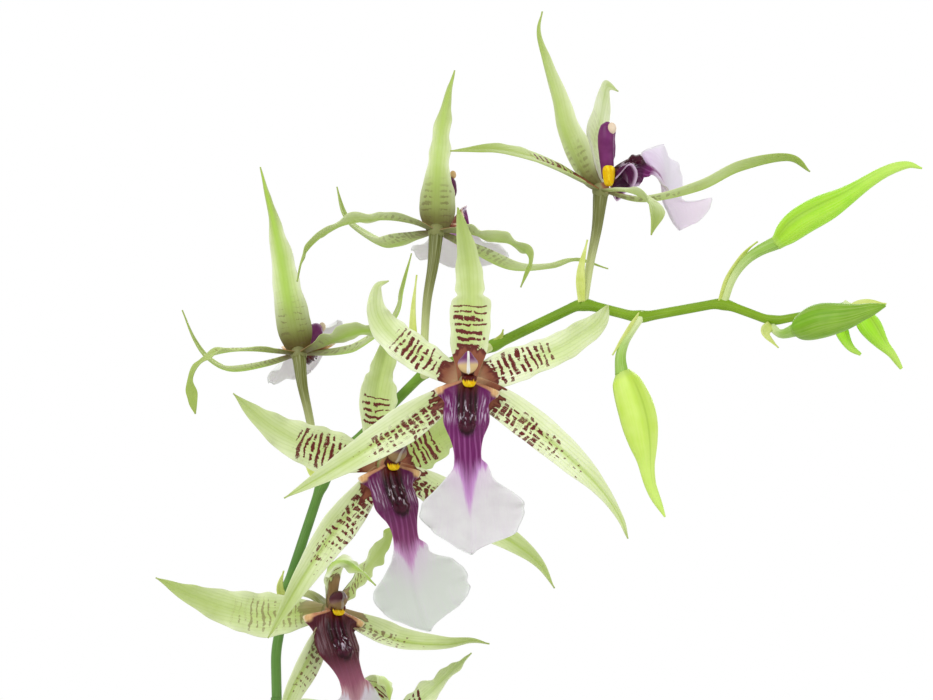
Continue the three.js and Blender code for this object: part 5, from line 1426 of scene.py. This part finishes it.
def sheath_shells():
    """Sheaths wrapped round the stalk: a sleeve up to 0.75 mm clear of it, its top cut on a slant."""
    shells = []
    along = np.linspace(0, 1, 800)
    heights = line_through(STALK_LINE, along)[0][:, 2]
    rows = np.linspace(0, 1, 24)[:, None]
    angle = circle(28)
    c, s = np.cos(angle), np.sin(angle)
    for foot, length in SHEATHS:
        low, high = np.interp([foot, foot + length], heights, along)
        t = low + (high - low) * rows * (0.55 + 0.45 * 0.5 * (1 + c))
        place, _, side, normal, _ = frame_on(STALK_LINE, t.ravel(), STEM_FACING)
        stalk = evenly(STALK_RADII, t.ravel()).reshape(t.shape)
        out = (stalk + np.interp(rows, [0, 0.1, 0.8, 0.97, 1], [0.1, 0.45, 0.75, 0.6, 0.05]))[..., None]
        across, lift = (axis.reshape(*t.shape, 3) for axis in (side, normal))
        loops = place.reshape(*t.shape, 3) + across * (out * c[:, None]) + lift * (out * s[:, None])
        share = over(t, rows, c, s)
        lay = over(t, 0.0, rows * length, out[..., 0] * s)
        shells.append(tube(loops, {"share": share, "lay": lay}))
    return shells


def bracts():
    """The small boat-shaped bracts at the nodes."""
    return [
        narrow_blade(shape, BRACT_KIND, shape.get("facing", BRACT_FACING), k)
        for k, shape in enumerate(BRACTS)
    ]


def bulb_place(shape, angle, up, out=0.0):
    """A place on a pseudobulb: an ellipse round a leaning axis, its radius √(1 - (2·up - 1)²) · taper,
    with shallow ribs, and out mm clear of the skin."""
    taper = 1.12 - 0.62 * up
    ring = np.sqrt(np.maximum(0, 1 - (2 * up - 1) ** 2))
    ribs = 1 - 0.028 * (1 + np.cos(9 * angle)) * np.sin(np.pi * up)
    x = np.cos(angle) * (ring * taper * ribs * shape["half"][0] + out) + shape["lean"][0] * up
    y = np.sin(angle) * (ring * taper * ribs * shape["half"][1] + out) + shape["lean"][1] * up
    z = BARK_LEVEL - PLANT_DEPTH + up * shape["height"] + 0 * angle
    return np.stack([shape["foot"][0] + x, shape["foot"][1] + y, z], -1)


def bulb(shape):
    """A pseudobulb's shell from its foot to its crown."""
    up = (1 - np.cos(np.linspace(0.03, np.pi - 0.03, 64)))[:, None] / 2
    angle = circle(108)[None]
    loops = bulb_place(shape, angle, up)
    share = over(loops, up, np.cos(angle), np.sin(angle))
    lay = over(loops, 0, up * shape["height"], np.sin(angle) * 10)
    return tube(loops, {"share": share, "lay": lay})


def bulb_scales(shape, seed):
    """Papery scales that clasp a bulb's foot: each a pointed blade laid 0.25 mm or more off its skin."""
    draw = np.random.default_rng(seed)
    t = np.linspace(0, 1, 40)[:, None]
    v = np.sin(np.pi / 2 * np.linspace(-1, 1, 21))[None]
    thick = 0.22 * np.sqrt(np.maximum(0, 1 - v**4)) * np.ones_like(t)
    shells = []
    for k, reach in enumerate(SCALE_REACHES):
        heading = k * np.pi + draw.uniform(-0.5, 0.5)
        angle = heading + v * (1.5 * (1 - t**2.2) + 0.03)
        up = 0.1 + (reach - 0.1) * t - 0.05 * v**2 * t
        out = 0.5 + 0.45 * (2 - k) + 1.4 * t**3 + 0.25 * np.sin(9 * v + 4 * t + seed)
        middle = bulb_place(shape, angle, up, out)
        lay = over(angle, v * 12, t * shape["height"] * reach, seed + k)
        shells.append(wrapped(middle, thick, thick, t, v, lay))
    return shells


def leaf(shape, seed):
    """A strap leaf's shell, folded to a narrow stalk at its foot."""
    return narrow_blade(shape, LEAF_KIND, [0, 0, 1], seed)


def pot_shell():
    """The pot's shell: its outline turned round the axis, with a waver of 0.0012 · sin(3a + 1). Each
    corner of (radius, height, bend) is rounded by (1 - f)² · before + 2f(1 - f) · corner + f² · after,
    which starts and ends bend mm off it."""
    neck = POT_TOP_RADIUS - POT_RIM_STEP
    rim_foot = POT_HEIGHT - POT_RIM_HEIGHT
    slope = (neck - POT_BASE_RADIUS) / rim_foot
    inner_foot = POT_BASE_RADIUS - POT_WALL + slope * POT_WALL
    corners = [
        (0.2, 0, 0), (DRAIN_CIRCLE - 9, 0, 0), (DRAIN_CIRCLE + 9, 0, 0), (POT_BASE_RADIUS, 0, 1.6),
        (neck - 0.6, rim_foot, 1.2), (POT_TOP_RADIUS, rim_foot + 0.4, 1.8),
        (POT_TOP_RADIUS, POT_HEIGHT, 2.2), (neck - POT_WALL + 1.5, POT_HEIGHT, 2.4),
        (neck - POT_WALL, POT_HEIGHT - 12, 4), (inner_foot, POT_WALL, 3), (DRAIN_CIRCLE + 9, POT_WALL, 0),
        (DRAIN_CIRCLE - 9, POT_WALL, 0), (0.2, POT_WALL, 0),
    ]
    outline = []
    for k, (radius, height, bend) in enumerate(corners):
        here = np.array([radius, height], float)
        if bend == 0:
            outline.append(here)
            continue
        before = here + unit(np.array(corners[k - 1][:2], float) - here) * bend
        after = here + unit(np.array(corners[k + 1][:2], float) - here) * bend
        for f in np.linspace(0, 1, 7):
            outline.append((1 - f) ** 2 * before + 2 * f * (1 - f) * here + f**2 * after)
    angle = circle(180)
    return tube(lathed(np.array(outline), angle, 1 + 0.0012 * np.sin(3 * angle + 1)), {})


def drill_pot(piece):
    """Cuts the drain holes through the floor with applied Boolean modifiers."""
    for turn in circle(DRAIN_COUNT) + np.pi / DRAIN_COUNT:
        middle = DRAIN_CIRCLE * np.array([np.cos(turn), np.sin(turn), 0])
        loops = middle + lathed(np.array([(DRAIN_RADIUS, -6.0), (DRAIN_RADIUS, 4 * POT_WALL)]), circle(40))
        points, quads, triangles, _ = tube(loops, {})
        mesh = bpy.data.meshes.new("drain")
        mesh.from_pydata((points * MM).tolist(), [], quads.tolist() + triangles.tolist())
        cutter = bpy.data.objects.new("drain", mesh)
        bpy.context.scene.collection.objects.link(cutter)
        cut = piece.modifiers.new("drain", "BOOLEAN")
        cut.operation = "DIFFERENCE"
        cut.solver = "EXACT"
        cut.object = cutter
        graph = bpy.context.evaluated_depsgraph_get()
        made = bpy.data.meshes.new_from_object(piece.evaluated_get(graph))
        piece.modifiers.clear()
        piece.data = made
        bpy.data.objects.remove(cutter)


def bark_bed():
    """The bark under the loose chips: an outline turned round the axis, from the pot's floor up to just
    under the chips, with lumps of sin(0.9x) · sin(0.8y + 1) on its top."""
    corners = [
        (0.2, POT_WALL + 0.4), (POT_BASE_RADIUS - POT_WALL - 1, POT_WALL + 0.4),
        (BARK_RADIUS - 2.5, BARK_LEVEL - 6), (BARK_RADIUS - 6, BARK_LEVEL - 4), (38, BARK_LEVEL - 3),
        (20, BARK_LEVEL - 1.5), (0.2, BARK_LEVEL),
    ]
    spans = zip(corners[:-1], corners[1:])
    fine = np.vstack([*(np.linspace(a, b, 8, endpoint=False) for a, b in spans), corners[-1]])
    loops = lathed(fine, circle(96))
    lumps = np.sin(loops[..., 0] * 0.9) * np.sin(loops[..., 1] * 0.8 + 1)
    loops[..., 2] += 0.7 * lumps * (loops[..., 2] > BARK_LEVEL - 8)
    return tube(loops, {"lay": over(loops, 0.15, loops[..., 0], loops[..., 1])})


def bark_chips():
    """Loose chips over the mound: each a rounded block |x|^5 + |y|^5 + |z|^5 = 1, stretched to its own
    size, roughened, tipped and dropped in a spiral from the middle out."""
    draw = np.random.default_rng(5)
    golden_turn = np.pi * (3 - np.sqrt(5))
    out = ball(9, 14, 0.12)
    block = out / (np.abs(out) ** 5).sum(-1, keepdims=True) ** 0.2
    shells = []
    for k in range(CHIP_COUNT):
        away = (BARK_RADIUS - 5.5) * math.sqrt((k + 0.5) / CHIP_COUNT)
        heading = k * golden_turn
        half = np.array([draw.uniform(3, 6.5), draw.uniform(2.2, 4.2), draw.uniform(1.0, 2.2)])
        phase = draw.uniform(0, 6.3, 3)
        rough = 1 + 0.13 * np.sin(4 * block[..., :1] + phase[0]) * np.sin(3 * block[..., 1:2] + phase[1])
        shape = block * half * rough
        tip_x, tip_y = draw.normal(0, 0.32, 2)
        turn = draw.uniform(0, 2 * np.pi)
        tipped = shape @ (turned_about(2, turn) @ turned_about(1, tip_y) @ turned_about(0, tip_x)).T
        height = BARK_LEVEL + BARK_MOUND * (1 - away / BARK_RADIUS) - 1.5 + draw.uniform(-1.2, 1.6)
        placed = tipped + [away * math.cos(heading), away * math.sin(heading), height]
        lay = over(block, draw.uniform(0, 1), shape[..., 0], shape[..., 2] * 2)
        shells.append(tube(placed, {"lay": lay}))
    return shells


def add_camera():
    """The photograph's view: level, looking along +Y."""
    data = bpy.data.cameras.new("camera")
    data.sensor_width = SENSOR_WIDTH
    data.lens = FOCAL_PIXELS / IMAGE_WIDTH * SENSOR_WIDTH
    data.clip_end = 20
    camera = bpy.data.objects.new("camera", data)
    camera.location = [value * MM for value in CAMERA_PLACE]
    camera.rotation_euler = (math.pi / 2, 0, 0)
    bpy.context.scene.collection.objects.link(camera)
    bpy.context.scene.camera = camera


def add_light(name, place, aim, size, power):
    """A square soft light at a place in mm, turned to an aim in mm."""
    data = bpy.data.lights.new(name, "AREA")
    data.size = size
    data.energy = power
    light = bpy.data.objects.new(name, data)
    away = np.array(place, float) - np.array(aim, float)
    across = math.hypot(away[0], away[1])
    light.location = [value * MM for value in place]
    light.rotation_euler = (math.atan2(across, away[2]), 0, math.atan2(away[0], -away[1]))
    bpy.context.scene.collection.objects.link(light)


def add_studio():
    """A white backdrop that lights softly from all round, two soft lights and a pale floor."""
    world = bpy.data.worlds.new("studio")
    world.use_nodes = True
    world.node_tree.nodes.clear()
    shade = Shade(world.node_tree)
    seen = shade.node("ShaderNodeBackground", {"Color": (1, 1, 1, 1), "Strength": 1.0})
    lit = shade.node("ShaderNodeBackground", {"Color": (1, 1, 1, 1), "Strength": 0.62})
    straight = shade.node("ShaderNodeLightPath").outputs["Is Camera Ray"]
    both = shade.node("ShaderNodeMixShader", {0: straight, 1: lit.outputs[0], 2: seen.outputs[0]})
    output = shade.node("ShaderNodeOutputWorld")
    world.node_tree.links.new(both.outputs[0], output.inputs["Surface"])
    bpy.context.scene.world = world
    bpy.context.scene.view_settings.view_transform = "Standard"
    add_light("key", (-700, -900, 1300), (10, 0, 480), 0.7, 8.0)
    add_light("fill", (900, -500, 700), (10, 0, 450), 0.9, 3.0)
    add_light("back", (200, 900, 900), (10, 0, 480), 0.9, 6.0)
    angle = circle(96)
    ring = np.column_stack([np.cos(angle), np.sin(angle), 0 * angle]) * FLOOR_RADIUS * MM
    mesh = bpy.data.meshes.new("floor")
    mesh.from_pydata(ring.tolist(), [], [list(range(len(ring)))])
    material, shade, shader = new_material("floor")
    tint = shade.group(MOTTLE, {"Size": 0.4, "Stretch": (1, 1, 1)})["Mask"]
    face = shade.mix(tint, colour("efefec"), colour("f4f4f2"))
    finish_material(shade, shader, {"Base Color": face}, {"Roughness": 0.8})
    mesh.materials.append(material)
    floor = bpy.data.objects.new("floor", mesh)
    bpy.context.scene.collection.objects.link(floor)


def add_blooms():
    """Each bloom's tepals, lip and column."""
    tepal_skin = tepal_material()
    lip_skin = lip_material()
    column_skin = column_material()
    for number, (name, bloom) in enumerate(BLOOMS.items(), 1):
        shells = [tepal(name, part, 10 * number + k) for k, part in enumerate(TEPAL_NAMES)]
        shells.append(heart_ball(bloom, number))
        make_piece(f"{name}_tepals_skin", shells, tepal_skin, [f"{name}_tepals"])
        shells = [lip(bloom, 100 + number), lip_knob(bloom)]
        make_piece(f"{name}_lip_skin", shells, lip_skin, [f"{name}_lip"])
        shells = [column(bloom)] + ([column_cap(bloom)] if "cap" in bloom else [])
        make_piece(f"{name}_column_skin", shells, column_skin, [f"{name}_column"])


def add_stem_and_buds():
    """The flower stem with its sheaths and bracts, and the buds."""
    stem_skin = green_material("stem", "54803a 669444 749a14 88ae1c", 0.00004, 0.4, 0.02, 0.15)
    pedicel_skin = green_material("pedicel", "ccd68e dce4a6 686c34 787a40", 0.00004, 0.4, 0.02, 0.45)
    pale_skin = green_material("bract", "c6d45a dfe890 c6d45a dfe890", 0.00003, 0.45, 0.01)
    stalk_skin = green_material("bud_stalk", "d0e098 dce8b0 90bc48 a2c85c", 0.00003, 0.42, 0.015, 0.5)
    sheath_skin = green_material("stem_sheath", "8aa24c a3b968 8aa24c a3b968", 0.00003, 0.5, 0.01)
    bud_skin = bud_material()
    make_piece("flower_stem_skin", stem_shells(), stem_skin, ["flower_stem"])
    make_piece("flower_stem_sheaths", sheath_shells(), sheath_skin, ["flower_stem"])
    make_piece("flower_stem_bracts", bracts(), pale_skin, ["flower_stem"])
    make_piece("flower_stem_pedicels", pedicel_shells(), pedicel_skin, ["flower_stem"])
    make_piece("flower_stem_bud_stalks", stalk_shells(), stalk_skin, ["flower_stem"])
    for name, shape in BUDS.items():
        make_piece(f"{name}_skin", [bud(shape)], bud_skin, [name])


def add_bulbs_and_leaves():
    """The pseudobulbs with their dry scales, and the leaves."""
    bulb_skin = green_material("pseudobulb", "6b8434 8ea84a 6b8434 8ea84a", 0.0004, 0.4, 0.02)
    dry = sheath_material()
    leaf_skin = leaf_material()
    for k, shape in enumerate(BULBS, 1):
        make_piece(f"pseudobulb_{k}_skin", [bulb(shape)], bulb_skin, [f"pseudobulb_{k}"])
        make_piece(f"pseudobulb_{k}_scales", bulb_scales(shape, k), dry, [f"pseudobulb_{k}"])
    for k, shape in enumerate(LEAVES, 1):
        make_piece(f"leaf_{k}_skin", [leaf(shape, k)], leaf_skin, [f"leaf_{k}"])


def add_pot_and_bark():
    """The clay pot with its drain holes, and the bark in it."""
    clay = terracotta_material()
    bark = bark_material()
    pot = make_piece("pot_skin", [pot_shell()], clay, ["pot"])
    drill_pot(pot)
    make_piece("bark_bed", [bark_bed()], bark, ["potting_bark"])
    make_piece("bark_chips", bark_chips(), bark, ["potting_bark"])


add_camera()
add_studio()
add_blooms()
add_stem_and_buds()
add_bulbs_and_leaves()
add_pot_and_bark()
